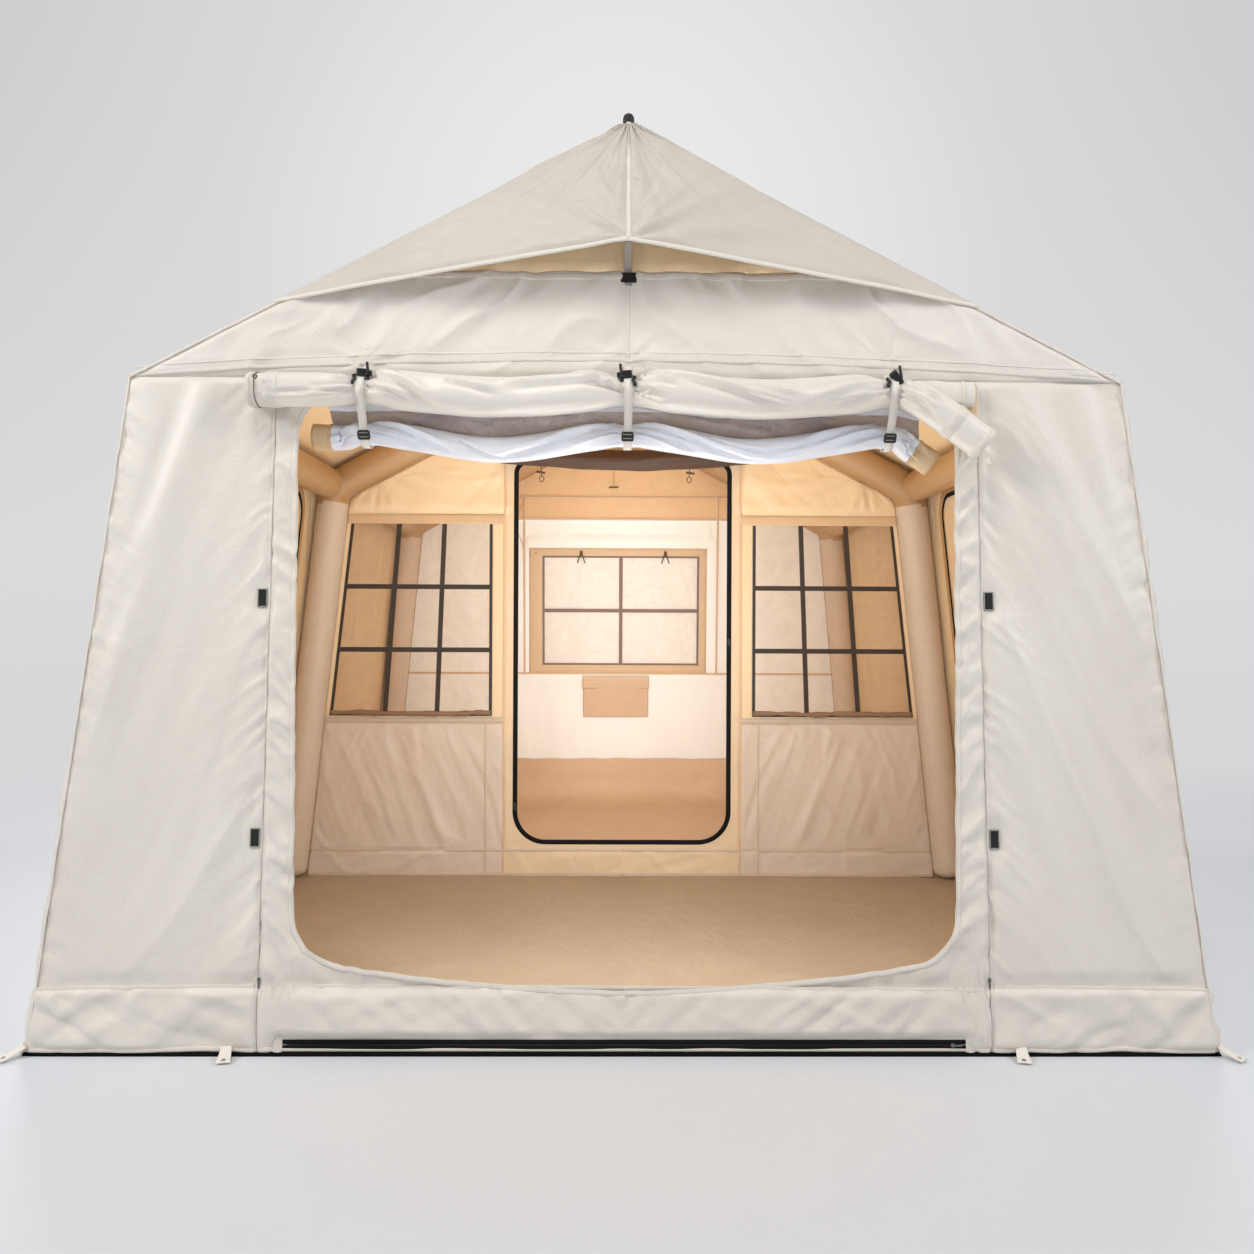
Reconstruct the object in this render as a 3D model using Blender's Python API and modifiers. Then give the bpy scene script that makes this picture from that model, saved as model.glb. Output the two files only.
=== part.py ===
"""Two-room inflatable cabin tent with a gabled roof, standing ready to use.

Metres, +Z up. The front is at -Y, left is at -X, and the origin lies on the ground at the middle.
Three air-filled arches, joined by eave and ridge beams, carry sheets of fabric. A partition hangs
in the middle arch. The outer and the inner front door are rolled up over the entrance.
"""

import math

import bmesh
import bpy
import numpy as np
from mathutils import Matrix, Vector

# Shell
BASE_WIDTH = 3.20
BASE_DEPTH = 4.00
EAVE_HEIGHT = 1.85
RIDGE_HEIGHT = 2.60
SIDE_LEAN = 0.20  # how far a side wall leans in between the ground and the eave
END_LEAN = 0.14  # the same for the front and rear walls
FABRIC = 0.003
FLOOR_FABRIC = 0.004
GAP = 0.0004  # clearance between pieces that touch
HEM_LIFT = 0.0010  # the walls end this far above the ground

# Air beams
ARCH_RADIUS = 0.075
EAVE_BEAM_RADIUS = 0.070
RIDGE_BEAM_RADIUS = 0.060
ARCH_BEND = 0.12  # bend radius of an arch's centre line
BEND_STEPS = 5
BEAM_RINGS = 6  # bevel resolution, which gives 16 sides

# Front wall
SEAM_X = 0.985  # zipped seams each side of the entrance panel
DOOR_HEADER = 0.05  # wall left between the door and the eave
DOOR_TOP = EAVE_HEIGHT - DOOR_HEADER
DOOR_TOP_MARGIN = 0.055  # panel left between the door and the seam, at its top
DOOR_FOOT_MARGIN = 0.085  # and at its foot
DOOR_TOP_HALF = SEAM_X - DOOR_TOP_MARGIN
DOOR_FOOT_HALF = SEAM_X - DOOR_FOOT_MARGIN
DOOR_FOOT = 0.225  # where the door's side would meet its bottom edge
DOOR_SAG = 0.060  # the bottom edge is this much lower in the middle
DOOR_TOP_ROUND = 0.12
DOOR_SAG_STEPS = 5
DOOR_FOOT_ROUND = 0.17
DOOR_FOOT_EASE = 0.017  # straight run between a bottom corner's arc and the sag
ZIP_HALF_LENGTH = 0.92
ZIP_LOW, ZIP_HIGH = 0.014, 0.042
ZIP_THICK = 0.003

# Roof fly
FLY_EDGE_RISE = 0.22  # above the eave
HOOD_TIP_RISE = 0.145  # above the fly's edge
HOOD_REACH = 0.12
VENT_SILL_DROP = 0.055  # from the hood's tip down to the vent's sill
HOOD_STRAP_WIDTH = 0.022
HOOD_STRAP_DROP = 0.087  # from the hood's tip down to the strap's end
HOOD_STRAP_KNEE_DROP = 0.035  # and to where it meets the gable
HOOD_STRAP_THICK = 0.002
BUCKLE_SIZE = (0.048, 0.028)
BUCKLE_DROP = 0.065
BUCKLE_THICK = 0.005
BUCKLE_ROUND = 0.003
CAP_RADIUS = 0.0165
CAP_HEIGHT = 0.042
CAP_SETBACK = 0.030

# Side doors, as distances along Y and up the wall
SIDE_DOOR_Y = (-1.66, -0.21)
SIDE_DOOR_HEADER = 0.115
SIDE_DOOR_UP = (0.16, EAVE_HEIGHT - SIDE_DOOR_HEADER)
SIDE_DOOR_ROUND = 0.09
EDGE_SLACK = 0.0006  # between a panel and the opening that it fills

# Rear wall
REAR_WINDOW_HALF = 0.505
REAR_WINDOW_HEADER = 0.22
REAR_WINDOW_UP = (0.92, EAVE_HEIGHT - REAR_WINDOW_HEADER)
REAR_FLAP_MARGIN = 0.05
REAR_FLAP_ROUND = 0.03
PANE = 0.001
POCKET_X = (-0.18, 0.24)  # seen from inside the pocket sits a little left of the middle
POCKET_UP = (0.585, 0.85)
POCKET_THICK = 0.010

# Partition
DOORWAY_HALF = 0.492
DOORWAY_UP = (0.166, 1.92)
DOORWAY_ROUND = 0.14
WINDOW_INNER_X = 0.60
WINDOW_HEADER = 0.205
WINDOW_UP = (0.745, EAVE_HEIGHT - WINDOW_HEADER)
WINDOW_LEG_MARGIN = 0.018
GRID_BAR = 0.022
GRID_BORDER = 0.014
DOOR_ZIP_WIDTH = 0.018
SLIDER_SIZE = (0.014, 0.007, 0.034)
SLIDER_BEVEL = 0.002
LEFT_SLIDER_HEIGHT = 0.33
RIGHT_SLIDER_HEIGHT = 1.09
INNER_ROLL_ENDS = (-0.56, 0.58)
INNER_ROLL_LIFT = 0.045  # above the doorway's top
INNER_ROLL_RADIUS = 0.052
INNER_ROLL_SAG = 0.012

# Rolled doors and what holds them, as distances along X, up the wall and out of it
STRAP_X = (-0.735, 0.0, 0.735)
STRAP_WIDTH = 0.026
STRAP_HOLD = 0.046  # length of roll that a strap holds straight
STRAP_THICK = 0.002
STRAP_ANCHOR_RISE = (0.018, 0.042)  # above the eave
STRAP_LAP = 115  # degrees, where the strap meets the outer roll
STRAP_END = -150  # degrees, where it ends under the lower roll
OUTER_ROLL_ENDS = (-1.045, 0.985)
OUTER_ROLL_DROP = 0.045  # below the eave
OUTER_ROLL_UP = EAVE_HEIGHT - OUTER_ROLL_DROP
OUTER_ROLL_RADIUS = 0.064
OUTER_ROLL_PINCH = 0.045
OUTER_ROLL_SAG = 0.020
OUTER_ROLL_END_RADIUS = 0.054
LOWER_ROLL_ENDS = (-0.895, 0.875)
LOWER_ROLL_DROP = 0.109  # below the outer roll
LOWER_ROLL_UP = OUTER_ROLL_UP - LOWER_ROLL_DROP
LOWER_ROLL_RADIUS = 0.048
LOWER_ROLL_PINCH = 0.034
LOWER_ROLL_SAG = 0.034
LOWER_ROLL_END_RADIUS = 0.042
LOWER_ROLL_OUT = -0.020
LOWER_ROLL_END_OUT = -0.056
PINCH_WIDTH = 0.065
DROOP_ANGLE = 39  # degrees, how steeply both rolls come to hang past the right strap
DROOP_START = 0.060  # length in which they begin to
ROLL_STEP = 0.035
CLIP_SIZE = (0.034, 0.026)
CLIP_THICK = 0.006
CLIP_ROUND = 0.004
CLIP_SLOT = (0.026, 0.005)
CLIP_SLOT_AT = 0.006
CLIP_RISE = 0.016

# Tabs, stake loops and valve
TAB_X = 1.008
TAB_UP = (0.575, 1.23)
TAB_SIZE = (0.028, 0.052)
TAB_THICK = 0.003
LOOP_X = 1.065
LOOP_LENGTH = 0.056
LOOP_INNER_WIDTH = 0.026
LOOP_OUTER_WIDTH = 0.036
LOOP_THICK = 0.003
EYELET_RADIUS = 0.006
EYELET_FROM_END = 0.013
VALVE_HEIGHT = 0.45
VALVE_FLANGE = (0.030, 0.004)
VALVE_NECK = (0.020, 0.020)
VALVE_BORE = 0.013
VALVE_BED = 0.008  # the flange reaches this far down round the leg
VALVE_CAP_RADIUS = 0.025
VALVE_CAP_THICK = 0.012

HALF_WIDTH = BASE_WIDTH / 2
HALF_DEPTH = BASE_DEPTH / 2
EAVE_X = HALF_WIDTH - SIDE_LEAN
RISE = RIDGE_HEIGHT - EAVE_HEIGHT
FLY_EDGE_HEIGHT = EAVE_HEIGHT + FLY_EDGE_RISE
HOOD_TIP_HEIGHT = FLY_EDGE_HEIGHT + HOOD_TIP_RISE
VENT_SILL = HOOD_TIP_HEIGHT - VENT_SILL_DROP


# Planes, and axes to draw on them


class Wall:
    """A plane of the shell's outside: x runs along it, y up its slope and z out of it, from its foot."""

    def __init__(self, normal, foot):
        self.normal = Vector(normal).normalized()
        self.foot = Vector(foot)
        across = Vector((0, 0, 1)).cross(self.normal).normalized()
        self.axes = Matrix((across, self.normal.cross(across), self.normal)).transposed()

    def at(self, outward=0.0):
        """The parallel plane this far outside, as its normal and its distance from the origin."""
        return self.normal, self.normal.dot(self.foot) + outward

    def matrix(self, outward=0.0):
        placed = self.axes.to_4x4()
        placed.translation = self.foot + self.normal * outward
        return placed

    def flat(self, point):
        """Where a point in space lies on the wall, as x and y."""
        local = self.axes.transposed() @ (Vector(point) - self.foot)
        return local.x, local.y

    def point(self, x, y, outward=0.0):
        return self.matrix(outward) @ Vector((x, y, 0))

    def outline(self, borders):
        """Corners cut on the wall by neighbouring borders, each a plane and a margin to stay inside it."""
        planes = [plane for plane, _ in borders]
        found = [self.flat(meet(self.at(), planes[i - 1], planes[i])) for i in range(len(planes))]
        margins = [margin for _, margin in borders]
        return inset(found, margins)


def level(height):
    return Vector((0, 0, 1)), height


def upright(x):
    return Vector((1, 0, 0)), x


def meet(*planes):
    """The point that three planes share."""
    return Vector(np.linalg.solve([list(normal) for normal, _ in planes], [d for _, d in planes]))


def inset(corners, margins):
    """A convex outline whose edge i, from corner i to the next, is moved inwards by margin i."""
    points = [Vector(corner) for corner in corners]
    count = len(points)
    area = sum(points[i - 1].x * points[i].y - points[i].x * points[i - 1].y for i in range(count))
    lines = []
    for i in range(count):
        along = (points[(i + 1) % count] - points[i]).normalized()
        inner = Vector((-along.y, along.x)) * (1 if area > 0 else -1)
        lines.append((inner, inner.dot(points[i]) + margins[i]))
    moved = []
    for i in range(count):
        (a, da), (b, db) = lines[i - 1], lines[i]
        moved.append(tuple(np.linalg.solve([list(a), list(b)], [da, db])))
    return moved


def butt(a, b):
    """How far a sheet on wall a ends from its corner with wall b, to meet the inner face of b's sheet."""
    turn = a.normal.angle(b.normal)
    return (FABRIC + GAP + max(0.0, -FABRIC * math.cos(turn))) / math.sin(turn)


FRONT = Wall((0, -EAVE_HEIGHT, END_LEAN), (0, -HALF_DEPTH, 0))
REAR = Wall((0, EAVE_HEIGHT, END_LEAN), (0, HALF_DEPTH, 0))
LEFT = Wall((-EAVE_HEIGHT, 0, SIDE_LEAN), (-HALF_WIDTH, 0, 0))
RIGHT = Wall((EAVE_HEIGHT, 0, SIDE_LEAN), (HALF_WIDTH, 0, 0))
LEFT_ROOF = Wall((-RISE, 0, EAVE_X), (-EAVE_X, 0, EAVE_HEIGHT))
RIGHT_ROOF = Wall((RISE, 0, EAVE_X), (EAVE_X, 0, EAVE_HEIGHT))
MIDDLE = Wall((0, -1, 0), (0, 0, 0))
SIDES = {"left": (LEFT, LEFT_ROOF), "right": (RIGHT, RIGHT_ROOF)}


# Outlines


def fillet(corner, before, after, radius, steps):
    """Points of the arc of that radius that rounds a corner, in the plane or in space."""
    corner, before, after = Vector(corner), Vector(before), Vector(after)
    back, on = (before - corner).normalized(), (after - corner).normalized()
    half = back.angle(on) / 2
    centre = corner + (back + on).normalized() * (radius / math.sin(half))
    start = corner + back * (radius / math.tan(half)) - centre
    end = corner + on * (radius / math.tan(half)) - centre
    sweep = start.angle(end)
    arc = []
    for i in range(steps + 1):
        turned = sweep * i / steps
        part = start * math.sin(sweep - turned) + end * math.sin(turned)
        arc.append(tuple(centre + part / math.sin(sweep)))
    return arc


def rounded(corners, radius, steps=4):
    """A closed outline with every corner rounded, by one radius or by one for each corner."""
    radii = radius if hasattr(radius, "__len__") else [radius] * len(corners)
    points = []
    for i, corner in enumerate(corners):
        points += fillet(corner, corners[i - 1], corners[(i + 1) % len(corners)], radii[i], steps)
    return points


def rectangle(x0, x1, y0, y1):
    return [(x0, y0), (x1, y0), (x1, y1), (x0, y1)]


def circle(centre, radius, steps=12):
    turns = [2 * math.pi * i / steps for i in range(steps)]
    return [(centre[0] + radius * math.cos(a), centre[1] + radius * math.sin(a)) for a in turns]


def ribbon(path, thickness):
    """The outline of a strap seen edge on, half its thickness each side of a path."""
    points = [Vector(p) for p in path]
    sides = ([], [])
    for i, point in enumerate(points):
        along = (points[min(i + 1, len(points) - 1)] - points[max(i - 1, 0)]).normalized()
        off = Vector((-along.y, along.x)) * thickness / 2
        sides[0].append(tuple(point + off))
        sides[1].append(tuple(point - off))
    return sides[0] + sides[1][::-1]


def arc(centre, radius, start, end, steps):
    """Points on an arc between two angles in degrees."""
    turns = [math.radians(start + (end - start) * i / steps) for i in range(steps + 1)]
    return [(centre[0] + radius * math.cos(a), centre[1] + radius * math.sin(a)) for a in turns]


# Materials


def material(name, colour, roughness, metallic=0.0):
    made = bpy.data.materials.get(name)
    if made is None:
        made = bpy.data.materials.new(name)
        made.use_nodes = True
        shader = made.node_tree.nodes["Principled BSDF"]
        shader.inputs["Base Color"].default_value = (*colour, 1.0)
        shader.inputs["Roughness"].default_value = roughness
        shader.inputs["Metallic"].default_value = metallic
        made.diffuse_color = (*colour, 1.0)
    return made


def shell_fabric():
    return material("shell_fabric", (0.76, 0.72, 0.64), 0.60)


def inner_fabric():
    return material("inner_fabric", (0.66, 0.47, 0.30), 0.70)


def floor_fabric():
    return material("floor_fabric", (0.47, 0.33, 0.22), 0.50)


def beam_sleeve():
    return material("beam_sleeve", (0.56, 0.37, 0.21), 0.55)


def clear_film():
    return material("clear_film", (0.80, 0.82, 0.90), 0.25)


def door_lining():
    return material("door_lining", (0.74, 0.77, 0.85), 0.45)


def webbing():
    return material("webbing", (0.70, 0.65, 0.56), 0.80)


def black_tape():
    return material("black_tape", (0.02, 0.02, 0.02), 0.60)


def black_plastic():
    return material("black_plastic", (0.015, 0.015, 0.015), 0.40)


def vent_mesh():
    return material("vent_mesh", (0.85, 0.66, 0.42), 0.75)


# Making objects


def linked(obj, finish):
    obj.data.materials.append(finish)
    TENT.objects.link(obj)
    return obj


def plate(name, outlines, thickness, matrix, finish):
    """A flat sheet centred on the matrix's plane: its edge is the first outline, the others are holes."""
    curve = bpy.data.curves.new(name, "CURVE")
    curve.dimensions = "2D"
    curve.fill_mode = "BOTH"
    curve.extrude = thickness / 2
    for outline in outlines:
        spline = curve.splines.new("POLY")
        spline.points.add(len(outline) - 1)
        for point, place in zip(spline.points, outline):
            point.co = (place[0], place[1], 0, 1)
        spline.use_cyclic_u = True
    obj = bpy.data.objects.new(name, curve)
    obj.matrix_world = matrix
    return linked(obj, finish)


def sheet(name, wall, outlines, finish, outward=0.0, thickness=FABRIC):
    """A sheet on a wall, its outer face that far outside the wall's plane."""
    return plate(name, outlines, thickness, wall.matrix(outward - thickness / 2), finish)


def tube(name, points, radius, finish, rings=BEAM_RINGS, widths=None):
    """A round tube along a path, with its ends closed; widths scale the radius at each point."""
    curve = bpy.data.curves.new(name, "CURVE")
    curve.dimensions = "3D"
    curve.bevel_depth = radius
    curve.bevel_resolution = rings
    curve.use_fill_caps = True
    spline = curve.splines.new("POLY")
    spline.points.add(len(points) - 1)
    for i, place in enumerate(points):
        spline.points[i].co = (*place, 1)
        spline.points[i].radius = widths[i] if widths else 1.0
    return linked(bpy.data.objects.new(name, curve), finish)


def as_mesh(obj):
    """The same solid as a mesh with its caps welded, ready to be cut."""
    bpy.context.view_layer.update()
    graph = bpy.context.evaluated_depsgraph_get()
    mesh = bpy.data.meshes.new_from_object(obj.evaluated_get(graph))
    body = bmesh.new()
    body.from_mesh(mesh)
    bmesh.ops.remove_doubles(body, verts=body.verts, dist=0.00001)
    bmesh.ops.recalc_face_normals(body, faces=body.faces)
    body.to_mesh(mesh)
    body.free()
    name, matrix, home = obj.name, obj.matrix_world.copy(), obj.users_collection[0]
    bpy.data.objects.remove(obj)
    made = bpy.data.objects.new(name, mesh)
    made.matrix_world = matrix
    home.objects.link(made)
    mesh.shade_smooth()
    mesh.set_sharp_from_angle(angle=math.radians(40))
    return made


def from_bmesh(name, body, matrix, finish):
    mesh = bpy.data.meshes.new(name)
    body.to_mesh(mesh)
    body.free()
    obj = bpy.data.objects.new(name, mesh)
    obj.matrix_world = matrix
    return linked(obj, finish)


def block(name, size, matrix, finish, bevel=0.0):
    body = bmesh.new()
    bmesh.ops.create_cube(body, size=1, matrix=Matrix.Diagonal((*size, 1)))
    obj = from_bmesh(name, body, matrix, finish)
    if bevel:
        rounding = obj.modifiers.new("Rounding", "BEVEL")
        rounding.width = bevel
        rounding.segments = 2
    return obj


def turned(name, profile, matrix, finish, steps=24):
    """A profile of radius and height, run down its outer side, turned about z."""
    mesh = bpy.data.meshes.new(name)
    mesh.from_pydata([(r, 0, z) for r, z in profile], [(i, i + 1) for i in range(len(profile) - 1)], [])
    obj = bpy.data.objects.new(name, mesh)
    obj.matrix_world = matrix
    screw = obj.modifiers.new("Turn", "SCREW")
    screw.steps = screw.render_steps = steps
    screw.use_merge_vertices = True
    screw.merge_threshold = 0.00001
    return linked(obj, finish)


def on_axis(obj, place, axis):
    """Hangs a moving piece on an empty whose Z is the line that it turns about or slides along."""
    empty = bpy.data.objects.new(obj.name + "_axis", None)
    turn = Vector(axis).to_track_quat("Z", "Y").to_matrix().to_4x4()
    empty.matrix_world = Matrix.Translation(place) @ turn
    empty.empty_display_size = 0.05
    TENT.objects.link(empty)
    obj.parent = empty
    obj.matrix_parent_inverse = empty.matrix_world.inverted()


def hinge(obj, place, reach, opens):
    """Hinges a piece that reaches one way from a place on its hinge, and opens towards another."""
    on_axis(obj, place, Vector(reach).cross(Vector(opens)))


def cutter(obj):
    """Turns an object into a helper that only cuts."""
    obj.hide_render = True
    obj.display_type = "WIRE"
    TENT.objects.unlink(obj)
    CUTTERS.objects.link(obj)
    return obj


def cut(obj, *tools):
    for tool in tools:
        boolean = obj.modifiers.new("Cut by " + tool.name, "BOOLEAN")
        boolean.operation = "DIFFERENCE"
        boolean.object = tool


# Air beams


def arch_path(wall, outward, radius):
    """From foot to foot of an arch in a plane beside a wall, its tube this radius inside the shell."""
    plane = wall.at(outward)
    inside = -(FABRIC + GAP + radius)
    below = level(-2 * radius)
    corners = [
        meet(plane, LEFT.at(inside), below),
        meet(plane, LEFT.at(inside), LEFT_ROOF.at(inside)),
        meet(plane, LEFT_ROOF.at(inside), RIGHT_ROOF.at(inside)),
        meet(plane, RIGHT.at(inside), RIGHT_ROOF.at(inside)),
        meet(plane, RIGHT.at(inside), below),
    ]
    path = [tuple(corners[0])]
    for before, corner, after in zip(corners, corners[1:], corners[2:]):
        path += fillet(corner, before, after, ARCH_BEND, BEND_STEPS)
    return path + [tuple(corners[4])]


def floor_cutter():
    """A block whose top is where the beams' feet stand."""
    top = FLOOR_FABRIC + GAP
    depth = 4 * ARCH_RADIUS
    place = Matrix.Translation((0, 0, top - depth / 2))
    size = (BASE_WIDTH + depth, BASE_DEPTH + depth, depth)
    return cutter(block("floor_cut", size, place, beam_sleeve()))


def air_arches():
    """The three arches, and slightly fatter copies that cut the beams which butt against them."""
    foot_cut = floor_cutter()
    end = -(FABRIC + GAP + ARCH_RADIUS)
    fat = {}
    for name, wall, outward in (("front", FRONT, end), ("middle", MIDDLE, 0.0), ("rear", REAR, end)):
        path = arch_path(wall, outward, ARCH_RADIUS)
        arch = as_mesh(tube(name + "_arch", path, ARCH_RADIUS, beam_sleeve()))
        cut(arch, foot_cut)
        copy = tube(name + "_arch_cut", path, ARCH_RADIUS + GAP, beam_sleeve())
        fat[name] = cutter(as_mesh(copy))
    return fat


def beam_between(name, start, end, guides, radius, fat):
    """A straight beam along two guide planes, shaped at both ends to seat on the arches."""
    ends = [meet(start[0], *guides), meet(end[0], *guides)]
    beam = as_mesh(tube(name, [tuple(p) for p in ends], radius, beam_sleeve()))
    cut(beam, fat[start[1]], fat[end[1]])
    return beam


def longitudinal_beams(fat):
    """Two bays of eave beams on each side, and of the ridge beam."""
    end = -(FABRIC + GAP + ARCH_RADIUS)
    bays = {
        "front": ((FRONT.at(end), "front"), (MIDDLE.at(GAP), "middle")),
        "rear": ((MIDDLE.at(-GAP), "middle"), (REAR.at(end), "rear")),
    }
    for bay, (start, stop) in bays.items():
        for side, (wall, roof) in SIDES.items():
            inside = -(FABRIC + GAP + EAVE_BEAM_RADIUS)
            guides = (wall.at(inside), roof.at(inside))
            beam_between(f"{side}_{bay}_eave_beam", start, stop, guides, EAVE_BEAM_RADIUS, fat)
        inside = -(FABRIC + GAP + RIDGE_BEAM_RADIUS)
        guides = (LEFT_ROOF.at(inside), RIGHT_ROOF.at(inside))
        beam_between(f"{bay}_ridge_beam", start, stop, guides, RIDGE_BEAM_RADIUS, fat)


def inflation_valve(fat):
    """A valve bedded on the inner side of the front arch's left leg, and its screw cap."""
    plane = FRONT.at(-(FABRIC + GAP + ARCH_RADIUS))
    leg = LEFT.at(-(FABRIC + GAP + ARCH_RADIUS))
    foot = meet(plane, leg, level(VALVE_HEIGHT))
    axis = -LEFT.normal
    seat = foot + axis * (ARCH_RADIUS + GAP)
    place = Matrix.Translation(seat) @ axis.to_track_quat("Z", "Y").to_matrix().to_4x4()
    flange_radius, flange = VALVE_FLANGE
    neck_radius, neck = VALVE_NECK
    body = [
        (VALVE_BORE, neck),
        (neck_radius, neck),
        (neck_radius, flange),
        (flange_radius, flange),
        (flange_radius, -VALVE_BED),
        (VALVE_BORE, -VALVE_BED),
        (VALVE_BORE, neck),
    ]
    cut(turned("inflation_valve", body, place, black_plastic()), fat["front"])
    low, high = neck + GAP, neck + GAP + VALVE_CAP_THICK
    cap = [(0, high), (VALVE_CAP_RADIUS, high), (VALVE_CAP_RADIUS, low), (0, low)]
    on_axis(turned("valve_cap", cap, place, black_plastic()), seat, axis)


# Shell sheets


def front_seam(side):
    """The upright plane of a zipped front seam."""
    return upright(SEAM_X * side), GAP


def front_door_outline():
    """The entrance: rounded corners, and a bottom edge that sags in the middle, on the front wall."""
    foot, top = (DOOR_FOOT_HALF, DOOR_FOOT), (DOOR_TOP_HALF, DOOR_TOP)
    reach = DOOR_FOOT_HALF - DOOR_FOOT_ROUND
    bottom = []
    for i in range(-DOOR_SAG_STEPS, DOOR_SAG_STEPS + 1):
        share = i / DOOR_SAG_STEPS
        bottom.append((reach * share, DOOR_FOOT - DOOR_SAG * (1 - share * share)))
    side = fillet(foot, bottom[-1], top, DOOR_FOOT_ROUND - DOOR_FOOT_EASE, 5)
    side += fillet(top, foot, (0, DOOR_TOP), DOOR_TOP_ROUND, 4)
    mirrored = [(-x, y) for x, y in reversed(side)]
    return bottom + side + mirrored


def front_wall():
    """The two fixed panels, the entrance panel between their seams, the gable and its vent."""
    hem = (level(HEM_LIFT), 0.0)
    eave = (level(EAVE_HEIGHT), GAP)
    left_seam, right_seam = front_seam(-1), front_seam(1)
    left = FRONT.outline([hem, left_seam, eave, (LEFT.at(), 0.0)])
    sheet("front_left_wall", FRONT, [left], shell_fabric())
    right = FRONT.outline([hem, (RIGHT.at(), 0.0), eave, right_seam])
    sheet("front_right_wall", FRONT, [right], shell_fabric())
    frame = FRONT.outline([hem, right_seam, eave, left_seam])
    sheet("front_door_frame", FRONT, [frame, front_door_outline()], shell_fabric())
    rakes = [(RIGHT_ROOF.at(), 0.0), (LEFT_ROOF.at(), 0.0)]
    sill = (level(VENT_SILL), GAP)
    gable = FRONT.outline([eave, rakes[0], sill, rakes[1]])
    sheet("front_gable", FRONT, [gable], shell_fabric())
    sheet("front_vent", FRONT, [FRONT.outline([sill, *rakes])], vent_mesh())


def rear_wall():
    """The rear wall with its window, the window's tape grid and outer flap, the pocket, and the gable."""
    hem = (level(HEM_LIFT), 0.0)
    eave = (level(EAVE_HEIGHT), GAP)
    wall = REAR.outline([hem, (LEFT.at(), 0.0), eave, (RIGHT.at(), 0.0)])
    low, high = REAR_WINDOW_UP
    window = rectangle(-REAR_WINDOW_HALF, REAR_WINDOW_HALF, low, high)
    sheet("rear_wall", REAR, [wall, window], shell_fabric())
    pane = inset(window, [EDGE_SLACK] * 4)
    sheet("rear_window_pane", REAR, [pane], clear_film(), 0.0, PANE)
    behind = PANE + GAP
    grid = [pane, *grid_holes(window, 2, 2)]
    sheet("rear_window_grid", REAR, grid, black_tape(), -behind, FABRIC - behind)
    flap_half = REAR_WINDOW_HALF + REAR_FLAP_MARGIN
    flap = rectangle(-flap_half, flap_half, low - REAR_FLAP_MARGIN, high + REAR_FLAP_MARGIN)
    outward = GAP + FABRIC
    cover = sheet("rear_window_flap", REAR, [rounded(flap, REAR_FLAP_ROUND)], shell_fabric(), outward)
    across, up, out = REAR.axes.transposed()
    hinge(cover, REAR.point(0, low - REAR_FLAP_MARGIN, outward), up, out)
    pocket = rectangle(*POCKET_X, *POCKET_UP)
    sheet("rear_pocket", REAR, [pocket], inner_fabric(), -(FABRIC + GAP), POCKET_THICK)
    rakes = [(LEFT_ROOF.at(), 0.0), (RIGHT_ROOF.at(), 0.0)]
    sheet("rear_gable", REAR, [REAR.outline([eave, *rakes])], shell_fabric())


def side_walls():
    """Each side wall, and the zipped door of its front bay."""
    for side, (wall, roof) in SIDES.items():
        edges = [(FRONT.at(), butt(wall, FRONT)), (REAR.at(), butt(wall, REAR))]
        if side == "left":
            edges.reverse()
        top = (level(EAVE_HEIGHT), butt(wall, roof))
        outline = wall.outline([(level(HEM_LIFT), 0.0), edges[1], top, edges[0]])
        ends = sorted(wall.flat((0, y, 0))[0] for y in SIDE_DOOR_Y)
        opening = rectangle(*ends, *SIDE_DOOR_UP)
        sheet(side + "_wall", wall, [outline, rounded(opening, SIDE_DOOR_ROUND)], shell_fabric())
        panel = rounded(inset(opening, [EDGE_SLACK] * 4), SIDE_DOOR_ROUND)
        door = sheet(side + "_side_door", wall, [panel], shell_fabric())
        hinge_y = SIDE_DOOR_Y[0] + EDGE_SLACK
        edge = wall.flat((0, hinge_y, 0))[0]
        hinge(door, wall.point(edge, sum(SIDE_DOOR_UP) / 2), (0, 1, 0), wall.normal)


def folded(name, vertices, faces, thickness, finish):
    """An open folded surface given its thickness on the inner side."""
    mesh = bpy.data.meshes.new(name)
    mesh.from_pydata([tuple(v) for v in vertices], [], faces)
    obj = bpy.data.objects.new(name, mesh)
    solid = obj.modifiers.new("Fabric", "SOLIDIFY")
    solid.thickness = thickness
    solid.offset = -1
    solid.use_even_offset = True
    solid.use_quality_normals = True
    return linked(obj, finish)


def roof():
    """One sheet folded over the ridge, from eave to eave."""
    eave = level(EAVE_HEIGHT)
    back = -(FABRIC + GAP)
    points = []
    for end in (FRONT.at(back), REAR.at(back)):
        points.append(meet(end, LEFT_ROOF.at(), eave))
        points.append(meet(end, LEFT_ROOF.at(), RIGHT_ROOF.at()))
        points.append(meet(end, RIGHT_ROOF.at(), eave))
    folded("roof", points, [(0, 1, 4, 3), (1, 2, 5, 4)], FABRIC, shell_fabric())


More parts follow.
